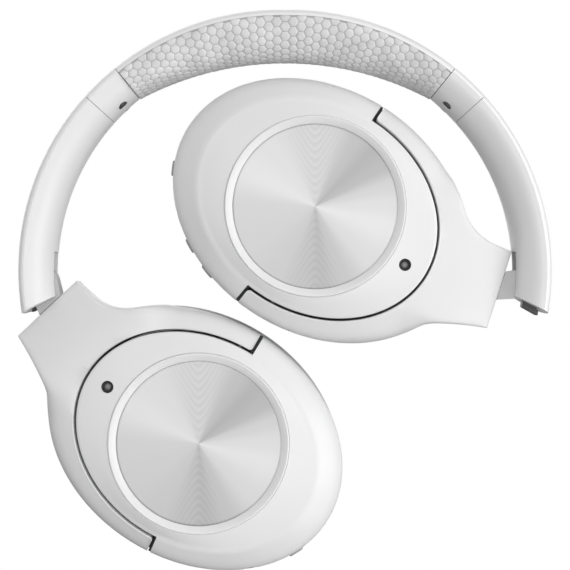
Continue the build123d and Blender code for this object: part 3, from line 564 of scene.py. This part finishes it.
def pad_section(thick):
    """(drop, depth) points round the pad's soft side from front to back, and the length up to each."""
    dense = []
    for turn in steps(0, 180, 720):
        c, s = cos(radians(turn)), sin(radians(turn))
        way = 1 if c >= 0 else -1
        dense.append((thick * s ** (2 / PAD_SQUARE), PAD_HALF * way * abs(c) ** (2 / PAD_SQUARE)))
    lengths = [0.0]
    for a, b in zip(dense, dense[1:]):
        lengths.append(lengths[-1] + hypot(b[0] - a[0], b[1] - a[1]))
    return dense, lengths


class PadSurface:
    """Maps distance along the crown and distance round the section to points on the crown pad."""

    def __init__(self):
        self.sections = {}
        self.half_span = ARC_X + CROWN_SEAM * radians(PAD_END) - 0.1
        self.round = pad_section(pad_station(0.0)[2])[1][-1]

    def point(self, along, across, lift=0.0):
        """`across` runs from -1 at the front seam to 1 at the back seam."""
        seat, outward, thick = pad_station(along)
        key = round(thick, 2)
        if key not in self.sections:
            self.sections[key] = pad_section(thick)
        dense, lengths = self.sections[key]
        target = (across + 1) / 2 * lengths[-1]
        low, high = 0, len(lengths) - 1
        while high - low > 1:
            middle = (low + high) // 2
            if lengths[middle] <= target:
                low = middle
            else:
                high = middle
        share = (target - lengths[low]) / max(lengths[high] - lengths[low], 1e-9)
        drop = lerp(dense[low][0], dense[high][0], share)
        depth = lerp(dense[low][1], dense[high][1], share)
        slope = Vector((dense[high][0] - dense[low][0], dense[high][1] - dense[low][1])).normalized()
        drop -= slope.y * lift
        depth += slope.x * lift
        return BAND + (seat - outward * drop + Vector((0, -depth, 0))) * MM


def pad_base(surface):
    """The cloth that shows in the grooves between the cells, darker than the cells as painted shade."""
    rows = []
    for along in steps(-surface.half_span, surface.half_span, 90):
        row = [surface.point(along, across) for across in steps(-1, 1, 72)]
        seat, outward = pad_station(along)[:2]
        row += [BAND + (seat + outward * 0.25 + Vector((0, -depth, 0))) * MM for depth in steps(-12, 12, 4)]
        rows.append(row)
    return grid("crown_pad", rows, caps=True)


def cell_ring(made, surface, middle, share, lift):
    """Vertices round one cell, or its middle one where `share` is 0, held inside the pad's edges."""
    limit = surface.round / 2 - 0.1
    ring = []
    for corner in range(12 if share else 1):
        turn = radians(30 * corner)
        away = CELL / sqrt(3) * share * (1.0 if corner % 2 == 0 else cos(radians(30)))
        along = middle.x + away * cos(turn)
        across = middle.y + away * sin(turn)
        along = max(-surface.half_span, min(surface.half_span, along))
        across = max(-limit, min(limit, across))
        ring.append(made.verts.new(surface.point(along, across / (surface.round / 2), lift)))
    return ring


def pad_cells(surface):
    """Raised hexagonal cushions in columns, every second column half a cell over."""
    made = bmesh.new()
    column = CELL * sqrt(3) / 2
    half_columns = int(surface.half_span / column) + 1
    half_rows = int(surface.round / 2 / CELL) + 1
    overhang = 0.9  # a cell whose middle is this far past an edge is still cut off at the edge and kept
    for i in range(-half_columns, half_columns + 1):
        for j in range(-half_rows, half_rows + 1):
            middle = Vector((i * column, (j + 0.5 * (i % 2)) * CELL))
            if abs(middle.x) > surface.half_span + overhang or abs(middle.y) > surface.round / 2 + overhang:
                continue
            rings = [cell_ring(made, surface, middle, share, lift) for share, lift in CELL_RINGS]
            for k in range(12):
                after = (k + 1) % 12
                made.faces.new((rings[0][0], rings[1][k], rings[1][after]))
                for inner, outer in zip(rings[1:], rings[2:]):
                    made.faces.new((inner[k], outer[k], outer[after], inner[after]))
    bmesh.ops.dissolve_degenerate(made, edges=made.edges, dist=1e-6)
    bmesh.ops.recalc_face_normals(made, faces=made.faces)
    return finished(made, "crown_pad_cells")


def crown_pad():
    surface = PadSurface()
    piece(pad_base(surface), "headband", "pad_groove_painted_shade", "headband_pad", sharp=60)
    piece(pad_cells(surface), "headband", "pad_grey_weave", sharp=80)


# ---- cups ----
class Cup:
    """Local frame of one cup: x to the neck, y to the crown side, depth out of the disc."""

    def __init__(self, side):
        low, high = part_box(f"{side}_disc")
        self.side = side
        self.middle = Vector(((low.x + high.x) / 2, BAND.y, (low.z + high.z) / 2))
        self.wide = Vector(JOINTS[f"{side}_tilt"]["axis"]).normalized() * (1 if side == "left" else -1)
        swivel = Vector(JOINTS[f"{side}_swivel"]["pos_m"])
        self.long = Vector((self.wide.z, 0, -self.wide.x))
        if self.long.dot(swivel - self.middle) < 0:
            self.long = -self.long
        self.out = Vector((0, -1, 0))

    def at(self, x, y, depth):
        return self.middle + (self.long * x + self.wide * y + self.out * depth) * MM

    def polar(self, turn, radius, depth):
        return self.at(radius * cos(radians(turn)), radius * sin(radians(turn)), depth)


def lathe_rows(cup, profile, centre=(0, 0), count=192):
    """One row of points round an axis through the cup for each step of a turn."""
    rows = []
    for step in range(count):
        angle = 2 * pi * step / count
        c, s = cos(angle), sin(angle)
        row = [cup.at(centre[0] + radius * c, centre[1] + radius * s, depth) for radius, depth in profile]
        rows.append(row)
    return rows


def lathe(name, cup, profile, centre=(0, 0), count=192):
    """Closed ring or solid of revolution from a (radius, depth) profile."""
    return grid(name, lathe_rows(cup, profile, centre, count), ring=True)


def reach(turn, shape, grow=0.0):
    """Distance from the disc's centre to an ellipse (half length, half width, centre) in one direction."""
    a, b, centre = shape
    a, b = a + grow, b + grow
    c, s = cos(radians(turn)), sin(radians(turn))
    square = (c / a) ** 2 + (s / b) ** 2
    cross = -2 * centre * c / a ** 2
    rest = (centre / a) ** 2 - 1
    return (-cross + sqrt(cross ** 2 - 4 * square * rest)) / (2 * square)


def shoulder(inner, outer, top, slope_drop, count):
    """(radius, depth) points down a shoulder: a sloping band that rolls over into the widest outline."""
    roll = top - SHOULDER - slope_drop
    points = []
    for index in range(count + 1):
        share = 1 - (1 - index / count) ** 2
        depth = top - slope_drop * share - roll * (1 - sqrt(max(0.0, 1 - share ** 5)))
        points.append((lerp(inner, outer, share), depth))
    return points


def dome_rows(turn):
    """(radius, depth) points from the disc's seat over the domed face to the oval's edge."""
    edge = reach(turn, OVAL)
    rows = [(BEZEL_R + 0.05, 13.4), (BEZEL_R + 0.05, DOME_TOP - 0.2), (BEZEL_R + 0.3, DOME_TOP)]
    for share in steps(0, 1, 5)[1:]:
        radius = lerp(BEZEL_R + 0.3, edge - 0.9, share)
        rows.append((radius, lerp(DOME_TOP, OVAL_TOP + 0.12, share ** 1.15)))
    return rows


def near_profile(turn):
    """(radius, depth) points of the half inside the yoke: the oval's wall drops to a flange."""
    edge, rim = reach(turn, OVAL), reach(turn, OUTLINE, -1.0)
    rows = dome_rows(turn)
    rows += [(edge - 0.35, OVAL_TOP - 0.05), (edge - 0.08, OVAL_TOP - 0.32), (edge, OVAL_TOP - 0.7)]
    rows += [(edge, depth) for depth in (10, 6, 2, -2)] + [(edge, LEDGE + 0.3), (edge + 0.4, LEDGE)]
    rows += [(lerp(edge, rim, 0.4), LEDGE), (lerp(edge, rim, 0.8), LEDGE), (rim - 0.3, LEDGE)]
    rows += [(rim, LEDGE - 0.3), (rim - 0.2, LEDGE - 1.0), (rim - 0.4, HOUSING_FOOT + 0.4)]
    rows += [(rim - 0.8, HOUSING_FOOT), (edge - 2, HOUSING_FOOT)]
    return rows


def far_profile(turn):
    """The same past the yoke's tips, in as many points: the face rolls over a shoulder into the outline."""
    edge, rim = reach(turn, OVAL), reach(turn, OUTLINE)
    rows = dome_rows(turn)
    past_tip = min(turn - TIP_HIGH, 360 + TIP_LOW - turn)
    slope_drop = SLOPE_DROP + 1.8 * smoothstep(0, 45, past_tip)  # steeper at the far end
    rows += shoulder(edge - 0.15, rim, OVAL_TOP, slope_drop, 11)
    rows += [(rim - 0.25, 2.5), (rim - 0.7, -1.5), (rim - 1.2, HOUSING_FOOT + 0.9)]
    rows += [(rim - 1.45, HOUSING_FOOT + 0.3), (edge - 2, HOUSING_FOOT)]
    return rows


def rim_point(cup, turn, along, across, out):
    """A point near the outline: `along` it, `across` towards the outer face and `out` from its surface."""
    a, b, centre = OUTLINE
    angle = radians(turn)
    normal = Vector((cos(angle) / a, sin(angle) / b)).normalized()
    x = centre + a * cos(angle) + normal.x * out - normal.y * along
    y = b * sin(angle) + normal.y * out + normal.x * along
    return cup.at(x, y, RIM_DEPTH + across)


def key_row(cup, turn, long, wide, out, power=4.0):
    """Rounded rectangle on the rim; a `power` of 2 makes it an ellipse."""
    row = []
    for step in range(32):
        angle = 2 * pi * step / 32
        c, s = cos(angle), sin(angle)
        along = long / 2 * (1 if c >= 0 else -1) * abs(c) ** (2 / power)
        across = wide / 2 * (1 if s >= 0 else -1) * abs(s) ** (2 / power)
        row.append(rim_point(cup, turn, along, across, out))
    return row


def rim_cutter(cup, turn, long, wide, deep, power=4.0):
    """Plug that opens the rim for a key or a socket."""
    rows = [key_row(cup, turn, long, wide, out, power) for out in (-deep, 4.0)]
    return grid(f"{cup.side}_cutter", rows, caps=True)


def cup_body(cup):
    """Housing with its openings: the gap for the yoke, the microphone's port, the keys and the socket."""
    start, end = TIP_HIGH + TIP_GAP, 360 + TIP_LOW - TIP_GAP
    columns = []
    for turn in steps(end - 360, start, 132):
        columns.append([cup.polar(turn, radius, depth) for radius, depth in near_profile(turn)])
    for turn in steps(start, end, 124):
        columns.append([cup.polar(turn, radius, depth) for radius, depth in far_profile(turn)])
    blank = placed("blank", grid(f"{cup.side}_cup_moulding", columns, ring=True))
    hole = lathe_rows(cup, [(MIC_R, OVAL_TOP - MIC_WELL), (MIC_R, FACE_TOP + 2)], (MIC_X, 0), 40)
    cutters = [grid("mic_hole", [list(row) for row in zip(*hole)], caps=True)]
    for turn in BUTTONS[cup.side].values():
        cutters.append(rim_cutter(cup, turn, BUTTON_LONG + 0.3, BUTTON_WIDE + 0.3, 3.6))
    cutters.append(rim_cutter(cup, PORT_TURN[cup.side], **PORT_HOLE[cup.side]))
    for cutter in cutters:
        blank.data = subtract(blank, cutter)
    mesh = blank.data
    bpy.data.objects.remove(blank)
    mesh.name = f"{cup.side}_cup_moulding"
    piece(mesh, f"{cup.side}_cup", "shell_white", f"{cup.side}_cup_shell", sharp=32)


def gap_painted_shade(cup):
    """Near-black sheet up the oval's wall and over the flange, in the gap between the cup and its yoke:
    painted shade for the shadowed gap.
    """
    wall, top, floor_top, floor_foot = 0.08, 8.0, LEDGE + 0.06, LEDGE - 0.2
    columns = []
    for turn in steps(TIP_LOW - TIP_GAP, TIP_HIGH + TIP_GAP, 130):
        edge = reach(turn, OVAL)
        rim = lerp(edge, reach(turn, OUTLINE), 0.6)
        loop = ((edge + 0.02, top), (edge + wall, top), (edge + wall, floor_top), (rim, floor_top),
                (rim, floor_foot), (edge + 0.02, floor_foot))
        columns.append([cup.polar(turn, radius, depth) for radius, depth in loop])
    piece(grid(f"{cup.side}_gap_painted_shade", columns, caps=True), f"{cup.side}_cup", "port_dark")


def slit_shade_part(cup, name, turns, section):
    """Near-black piece of painted shade swept through a few turns beside a tip of the yoke, by its section at
    each.
    """
    columns = []
    for turn in turns:
        loop = section(reach(turn, OVAL), reach(turn, OUTLINE))
        columns.append([cup.polar(turn, radius, depth) for radius, depth in loop])
    piece(grid(f"{cup.side}_{name}", columns, caps=True), f"{cup.side}_cup", "port_dark")


def notch_section(edge, rim):
    """The block stays near the height of the tilt axis, so that the tip clears it when the cup tilts."""
    foot = 4.6
    return ((edge + 0.1, foot), (edge + 0.1, 8.6), (lerp(edge, rim, 0.5), 8.3), (rim - 0.9, 7.0),
            (rim - 0.15, 5.5), (rim - 0.25, foot))


def sill_section(edge, rim):
    """The sill lies under the tip, deep enough to clear it when the cup tilts."""
    top, foot = -0.6, -1.1
    return (edge + 0.3, foot), (edge + 0.3, top), (rim - 0.15, top), (rim - 0.15, foot)


def slit_painted_shade(cup):
    """Near-black block and sill behind the slit that parts each tip of the yoke from the cup: painted shade
    that darkens the slit from behind and below.
    """
    for name, tip, way in (("crown", TIP_HIGH, 1), ("chin", TIP_LOW, -1)):
        wall = tip + way * (TIP_GAP + LAP)
        slit_shade_part(cup, f"{name}_notch", (tip + way * 0.45, tip + way * 1.1, wall), notch_section)
        slit_shade_part(cup, f"{name}_sill", (tip - way * 2.4, tip, wall), sill_section)


def controls(cup):
    """Keys in the rim, each on its own body."""
    levels = ((-2.6, 1.0), (0.15, 1.0), (0.38, 0.94), (0.5, 0.82), (0.56, 0.5))  # (height, share of its size)
    for name, turn in BUTTONS[cup.side].items():
        rows = [key_row(cup, turn, BUTTON_LONG * grow, BUTTON_WIDE * grow, out) for out, grow in levels]
        key = f"{cup.side}_{name}"
        piece(grid(f"{key}_cap", rows, caps=True), f"{key}_key", "button_grey", key, sharp=60)


def microphone(cup):
    """Chamfered dark port with a paler gauze dome in it."""
    liner = [(1.0, 12.2), (1.0, 12.9), (1.45, 13.0), (1.62, OVAL_TOP + 0.35), (1.78, OVAL_TOP + 0.55),
             (MIC_R - 0.02, OVAL_TOP + 0.5), (MIC_R - 0.02, 12.2)]
    piece(lathe(f"{cup.side}_mic_liner", cup, liner, (MIC_X, 0), 48), f"{cup.side}_cup", "port_dark",
          f"{cup.side}_mic_cap", sharp=50)
    dome = [(0.0, 12.3), (0.0, 13.75), (0.45, 13.7), (0.8, 13.5), (1.0, 13.2), (1.02, 12.3)]
    piece(lathe(f"{cup.side}_mic_gauze", cup, dome, (MIC_X, 0), 40), f"{cup.side}_cup", "mic_gauze")


# ---- yoke ----
def circle_through(a, b, c):
    """Centre and radius of the circle through three (x, y) points."""
    d = 2 * (a[0] * (b[1] - c[1]) + b[0] * (c[1] - a[1]) + c[0] * (a[1] - b[1]))
    squares = [p[0] ** 2 + p[1] ** 2 for p in (a, b, c)]
    x = (squares[0] * (b[1] - c[1]) + squares[1] * (c[1] - a[1]) + squares[2] * (a[1] - b[1])) / d
    y = (squares[0] * (c[0] - b[0]) + squares[1] * (a[0] - c[0]) + squares[2] * (b[0] - a[0])) / d
    return (x, y), hypot(a[0] - x, a[1] - y)


NECK_FROM, NECK_TO = -26, 50  # degrees round the cup between which the neck leaves the ring
NECK_FILLET = 1.3
NECK_BACK = 10  # the neck is full depth for this far from its end face
TIP_TURNS = (0.1, 0.3, 0.6, 1.0, 1.5)  # extra stations near each tip, for its round corner
NECK_SIN, NECK_COS = sin(radians(NECK_TURN)), cos(radians(NECK_TURN))
NECK_LOW = (NECK_X + NECK_WIDE / 2 * NECK_SIN, NECK_Y - NECK_WIDE / 2 * NECK_COS)
NECK_HIGH = (NECK_X - NECK_WIDE / 2 * NECK_SIN, NECK_Y + NECK_WIDE / 2 * NECK_COS)
NECK_REACH = NECK_X * NECK_COS + NECK_Y * NECK_SIN
LOW_WAIST = circle_through(NECK_LOW, (58.5, -6.3), (49.4, -11.6))  # arcs of the neck's hollow sides
HIGH_WAIST = circle_through(NECK_HIGH, (47.8, 21.4), (36.6, 27.0))


def first_hit(turn, circle):
    """Distance along a direction to the near side of a circle, or infinity."""
    (x, y), radius = circle
    along = x * cos(radians(turn)) + y * sin(radians(turn))
    inside = radius ** 2 - (x ** 2 + y ** 2 - along ** 2)
    return along - sqrt(inside) if inside > 0 else inf


def yoke_outline(turn):
    """Outer radius of the yoke: the ring, which runs into the waisted neck."""
    ring = reach(turn, OUTLINE)
    if not NECK_FROM < turn < NECK_TO:
        return ring
    end = NECK_REACH / cos(radians(turn - NECK_TURN))
    neck = min(end, first_hit(turn, LOW_WAIST), first_hit(turn, HIGH_WAIST))
    joined = (ring + neck + sqrt((ring - neck) ** 2 + NECK_FILLET ** 2)) / 2
    return lerp(joined, ring, max(smoothstep(-16, NECK_FROM, turn), smoothstep(33, NECK_TO, turn)))


def neck_top(turn, radius):
    """Depth of the neck's upper face, which sinks towards the end face."""
    fall = 26  # length over which it sinks
    share = max(0.0, min(1.0, (NECK_REACH - radius * cos(radians(turn - NECK_TURN))) / fall))
    return NECK_HALF + (RING_TOP - 0.2 - NECK_HALF) * share * (1.7 - 0.7 * share)


def tip_round(turn, radius):
    """How far the rounded inner corners of the yoke's tips draw back from the gap."""
    left = radians(min(TIP_HIGH - turn, turn - TIP_LOW)) * radius
    if left >= TIP_ROUND:
        return 0.0
    return TIP_ROUND - sqrt(max(0.0, TIP_ROUND ** 2 - (TIP_ROUND - left) ** 2))


def yoke_section(turn):
    """(radius, depth) points round the yoke's section in one direction."""
    inner, outer = reach(turn, OVAL, RING_GAP), yoke_outline(turn)
    inner += tip_round(turn, inner)
    neck = smoothstep(-24, -8, turn) * smoothstep(49, 33, turn)  # 0 on the ring, 1 on the neck
    top = RING_TOP - 0.1
    count = 16
    rows = [(inner, top - 0.45), (inner + 0.12, top - 0.12)]
    from_tip = min(TIP_HIGH - turn, turn - TIP_LOW)
    slope_drop = SLOPE_DROP - 0.9 * smoothstep(0, 45, from_tip)  # flatter beside the neck
    wall_foot = 2.0  # depth at which the neck's rounded side wall ends
    for index, (radius, ring_depth) in enumerate(shoulder(inner + 0.4, outer, top, slope_drop, count)):
        share = 1 - (1 - index / count) ** 2
        side_wall = (1 - share ** 14) ** (1 / 14) if share < 1 else 0.0
        neck_depth = wall_foot + (neck_top(turn, radius) - wall_foot) * side_wall
        rows.append((radius, lerp(ring_depth, neck_depth, neck)))
    deep = (NECK_REACH - NECK_BACK) / cos(radians(turn - NECK_TURN)) if abs(turn - NECK_TURN) < 60 else inf
    deep_share = smoothstep(deep - 0.5, deep + 1.5, outer) * neck
    foot = lerp(RING_FOOT, -NECK_HALF, deep_share)
    edge = rows[-1][1]
    rows += [(outer, lerp(edge, foot, 0.5)), (outer - 0.1, foot + 0.8), (outer - 0.7, foot)]
    step = min(deep, outer - 1.2)
    rows += [(step, foot), (step - 1.4, RING_FOOT), (inner + 0.5, RING_FOOT), (inner, RING_FOOT + 0.5)]
    return rows


def yoke(cup):
    """C-shaped half ring and its neck, in one piece."""
    corners = [degrees(atan2(y, x)) for x, y in (NECK_LOW, NECK_HIGH)]
    ends = [TIP_HIGH - back for back in TIP_TURNS] + [TIP_LOW + back for back in TIP_TURNS]
    turns = sorted(steps(TIP_LOW, TIP_HIGH, 150) + corners + ends)
    columns = [[cup.polar(turn, radius, depth) for radius, depth in yoke_section(turn)] for turn in turns]
    mesh = grid(f"{cup.side}_yoke_frame", columns, caps=True)
    piece(mesh, f"{cup.side}_swivel", "satin_white", f"{cup.side}_yoke", sharp=35, bevel=0.3)


# ---- disc and its rim ----
def disc_and_rim(cup):
    """Ring whose inner face slopes down to the disc, and the disc, slightly dished."""
    body = f"{cup.side}_cup"
    low, face = FACE_TOP - 3.1, FACE_TOP - 1.4
    rim = [(DISC_R + 0.02, low), (BEZEL_R, low), (BEZEL_R, FACE_TOP - 0.5), (BEZEL_R - 0.08, FACE_TOP - 0.25),
           (BEZEL_R - 0.28, FACE_TOP - 0.1), (BEZEL_R - 0.5, FACE_TOP - 0.14), (DISC_R + 0.15, face + 0.12),
           (DISC_R + 0.02, face + 0.02)]
    piece(lathe(f"{cup.side}_rim_ring", cup, rim), body, "shell_white", f"{cup.side}_disc_rim", sharp=50)
    plate = [(0.0, low), (0.0, face - 0.25), (9.0, face - 0.18), (18.0, face - 0.08), (DISC_R - 0.6, face),
             (DISC_R - 0.06, face), (DISC_R, face - 0.06), (DISC_R, low)]
    piece(lathe(f"{cup.side}_spun_disc", cup, plate), body, "spun_metal", f"{cup.side}_disc", sharp=50)


# ---- ear cushions ----
SEAM_DEPTH, SEAM_PULL = -11.0, 0.9
SEAM_OVAL = (PAD_A, PAD_B, OUTLINE[2])
HOLE_OVAL = (PAD_HOLE_A, PAD_HOLE_B, OUTLINE[2])
PUFF_FRAMES, PUFF_MOST = 20, 1.4  # length of the cloth simulation, and the furthest it may move a point
STITCHES, THREAD = 132, 0.22  # number of stitches round a cushion, and the thread's radius
STITCH_RINGS = ((-0.36, 0.55), (-0.3, 1.0), (0.3, 1.0), (0.36, 0.55))  # (share of pitch, share of radius)


def cushion_section(turn):
    """(radius, depth) points round the cushion: flat on the baffle, drawn in at the seam, full at the ear."""
    outer, inner = reach(turn, SEAM_OVAL), reach(turn, HOLE_OVAL)
    middle, half = (outer + inner) / 2, (outer - inner) / 2 - 0.5
    tall = PAD_TOP - PAD_FOOT - 0.6
    rows = []
    for angle in steps(0, 360, 32)[:-1]:
        c, s = cos(radians(angle)), sin(radians(angle))
        square = 3.4 if s > 0 else 2.3  # squarer where it sits on the baffle
        radius = middle + half * (1 if c >= 0 else -1) * abs(c) ** (2 / square)
        depth = PAD_TOP - tall / 2 + tall / 2 * (1 if s >= 0 else -1) * abs(s) ** (2 / square)
        if c > 0:
            radius -= SEAM_PULL * smoothstep(1.8, 0.0, abs(depth - SEAM_DEPTH))
        rows.append((radius, depth))
    return rows


def rounded(point):
    return tuple(round(value, 6) for value in point)


def puff(made, held):
    """Fills a soft piece with air for a moment, so that it swells between the held vertices."""
    scene = bpy.context.scene
    before = [vertex.co.copy() for vertex in made.data.vertices]
    made.vertex_groups.new(name="held").add(held, 1.0, "REPLACE")
    cloth = made.modifiers.new("puff", "CLOTH")
    cloth.settings.use_pressure = True
    cloth.settings.uniform_pressure_force = 4.0
    cloth.settings.effector_weights.gravity = 0.0
    cloth.settings.vertex_group_mass = "held"
    cloth.settings.tension_stiffness = 12.0
    cloth.settings.bending_stiffness = 0.4
    for number in range(1, PUFF_FRAMES + 1):
        scene.frame_set(number)
    swollen = made.evaluated_get(bpy.context.evaluated_depsgraph_get())
    after = [vertex.co.copy() for vertex in swollen.data.vertices]
    made.modifiers.remove(cloth)
    for vertex, old, new in zip(made.data.vertices, before, after):
        move = new - old
        if move.length > PUFF_MOST * MM:
            move *= PUFF_MOST * MM / move.length
        vertex.co = old + move
    scene.frame_set(1)


def cushion(cup):
    """Ear cushion, held at the baffle and at every third station of its outer seam while it swells."""
    columns = []
    held = set()
    for index, turn in enumerate(steps(0, 360, 150)[:-1]):
        column = []
        for radius, depth in cushion_section(turn):
            point = cup.polar(turn, radius, depth)
            column.append(point)
            seam = abs(depth - SEAM_DEPTH) < 0.9 and index % 3 == 0
            if depth > PAD_TOP - 1.2 or seam:
                held.add(rounded(point))
        columns.append(column)
    made = placed("blank", grid(f"{cup.side}_cushion", columns, ring=True))
    puff(made, [vertex.index for vertex in made.data.vertices if rounded(vertex.co) in held])
    mesh = made.data
    mesh.name = f"{cup.side}_cushion"
    bpy.data.objects.remove(made)
    soft = piece(mesh, f"{cup.side}_cup", "ear_leatherette", f"{cup.side}_ear_pad", sharp=120)
    smooth = soft.modifiers.new("smooth", "SUBSURF")
    smooth.levels = 1
    smooth.render_levels = 1
    seam_stitches(cup)


def seam_stitches(cup):
    """Thread that crosses the outer seam, one short stitch after another."""
    made = bmesh.new()
    for turn in steps(0, 360, STITCHES)[:-1]:
        rings = []
        for along, thick in STITCH_RINGS:
            station = turn + along * 360 / STITCHES
            radius = reach(station, SEAM_OVAL) - 0.5 - SEAM_PULL * 0.75
            ring = []
            for corner in range(6):
                off = THREAD * thick * cos(radians(60 * corner))
                lift = THREAD * thick * sin(radians(60 * corner))
                ring.append(made.verts.new(cup.polar(station, radius + off, SEAM_DEPTH + lift)))
            rings.append(ring)
        made.faces.new(rings[0])
        for before, after in zip(rings, rings[1:]):
            for corner in range(6):
                following = (corner + 1) % 6
                made.faces.new((before[corner], before[following], after[following], after[corner]))
        made.faces.new(rings[-1][::-1])
    bmesh.ops.recalc_face_normals(made, faces=made.faces)
    piece(finished(made, f"{cup.side}_cushion_stitches"), f"{cup.side}_cup", "thread", sharp=60)


# ---- build ----
for node in frame["record"]["subparts"]:
    found = frame["nodes"][node["node"]]
    found.data.materials.clear()
    # the white knuckles get a mid grey that is painted shade
    knuckle = node["node"].endswith("_knuckle")
    found.data.materials.append(MATERIALS["knuckle_painted_shade" if knuckle else node["material_slot"]])

crown_shell()
crown_pad()
for side in SIDES:
    sleeve(side)
    seam_liners(side)
    arm(side)
    cup = Cup(side)
    cup_body(cup)
    gap_painted_shade(cup)
    slit_painted_shade(cup)
    controls(cup)
    microphone(cup)
    yoke(cup)
    disc_and_rim(cup)
    cushion(cup)


# ---- stage ----
def white_for_camera(tree, shader, output):
    """Whatever the surface does to the light, the camera sees plain white."""
    mix = tree.nodes.new("ShaderNodeMixShader")
    path = tree.nodes.new("ShaderNodeLightPath")
    glow = tree.nodes.new("ShaderNodeEmission")
    glow.inputs["Color"].default_value = (1, 1, 1, 1)
    tree.links.new(path.outputs["Is Camera Ray"], mix.inputs[0])
    tree.links.new(shader, mix.inputs[1])
    tree.links.new(glow.outputs[0], mix.inputs[2])
    tree.links.new(mix.outputs[0], output)


def floor():
    """Pale floor, low enough to leave the low softbox clear."""
    mesh = bpy.data.meshes.new("floor")
    size, level = 6.0, -1.2  # metres
    corners = [(-size, -size, level), (size, -size, level), (size, size, level), (-size, size, level)]
    mesh.from_pydata(corners, [], [(0, 1, 2, 3)])
    made = placed("floor", mesh)
    material = bpy.data.materials.new("pale_floor")
    material.use_nodes = True
    tree = material.node_tree
    shader = tree.nodes["Principled BSDF"]
    shader.inputs["Base Color"].default_value = (0.3, 0.3, 0.3, 1)
    shader.inputs["Roughness"].default_value = 0.8
    white_for_camera(tree, shader.outputs[0], tree.nodes["Material Output"].inputs["Surface"])
    mesh.materials.append(material)


def world(strength):
    """Studio light from all round, a little brighter from above than from below."""
    scene = bpy.context.scene
    scene.world = bpy.data.worlds.new("studio")
    scene.world.use_nodes = True
    tree = scene.world.node_tree
    sky = tree.nodes["Background"]
    spot = tree.nodes.new("ShaderNodeTexCoord")
    parts = tree.nodes.new("ShaderNodeSeparateXYZ")
    fade = tree.nodes.new("ShaderNodeMapRange")
    fade.inputs["From Min"].default_value = -1.0
    fade.inputs["To Min"].default_value = 0.70
    fade.inputs["To Max"].default_value = 1.15
    tree.links.new(spot.outputs["Generated"], parts.inputs[0])
    tree.links.new(parts.outputs["Z"], fade.inputs["Value"])
    tree.links.new(fade.outputs[0], sky.inputs["Color"])
    sky.inputs["Strength"].default_value = strength
    white_for_camera(tree, sky.outputs[0], tree.nodes["World Output"].inputs["Surface"])
    scene.view_settings.view_transform = "Standard"


def softbox(name, place, size, watts):
    """Rectangular lamp that points at the origin."""
    light = bpy.data.lights.new(name, "AREA")
    light.shape = "RECTANGLE"
    light.size, light.size_y = size
    light.energy = watts
    made = placed(name, light)
    made.location = place
    made.rotation_mode = "QUATERNION"
    made.rotation_quaternion = (-Vector(place)).to_track_quat("-Z", "Y")


def camera():
    """Looks straight at the discs from a little over half a metre."""
    disc_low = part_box("left_disc_rim")[0]
    distance, width, drop = 0.570, 0.1781, 0.0046  # metres; the view is centred below the band's arc
    data = bpy.data.cameras.new("camera")
    data.sensor_width = 36.0
    data.lens = 36.0 * distance / width
    made = placed("camera", data)
    made.location = (BAND.x, disc_low.y - distance, BAND.z - drop)
    made.rotation_euler = (radians(90), 0, 0)
    bpy.context.scene.camera = made


floor()
world(0.51)
softbox("key", (1.15, -0.50, 0.05), (0.9, 0.9), 5.0)
softbox("low", (1.0, -0.60, -0.65), (0.9, 0.9), 4.1)
softbox("front", (0.1, -1.35, 0.0), (1.0, 1.0), 7.3)
softbox("back", (-0.3, 1.35, 0.4), (1.0, 1.0), 3.5)
camera()
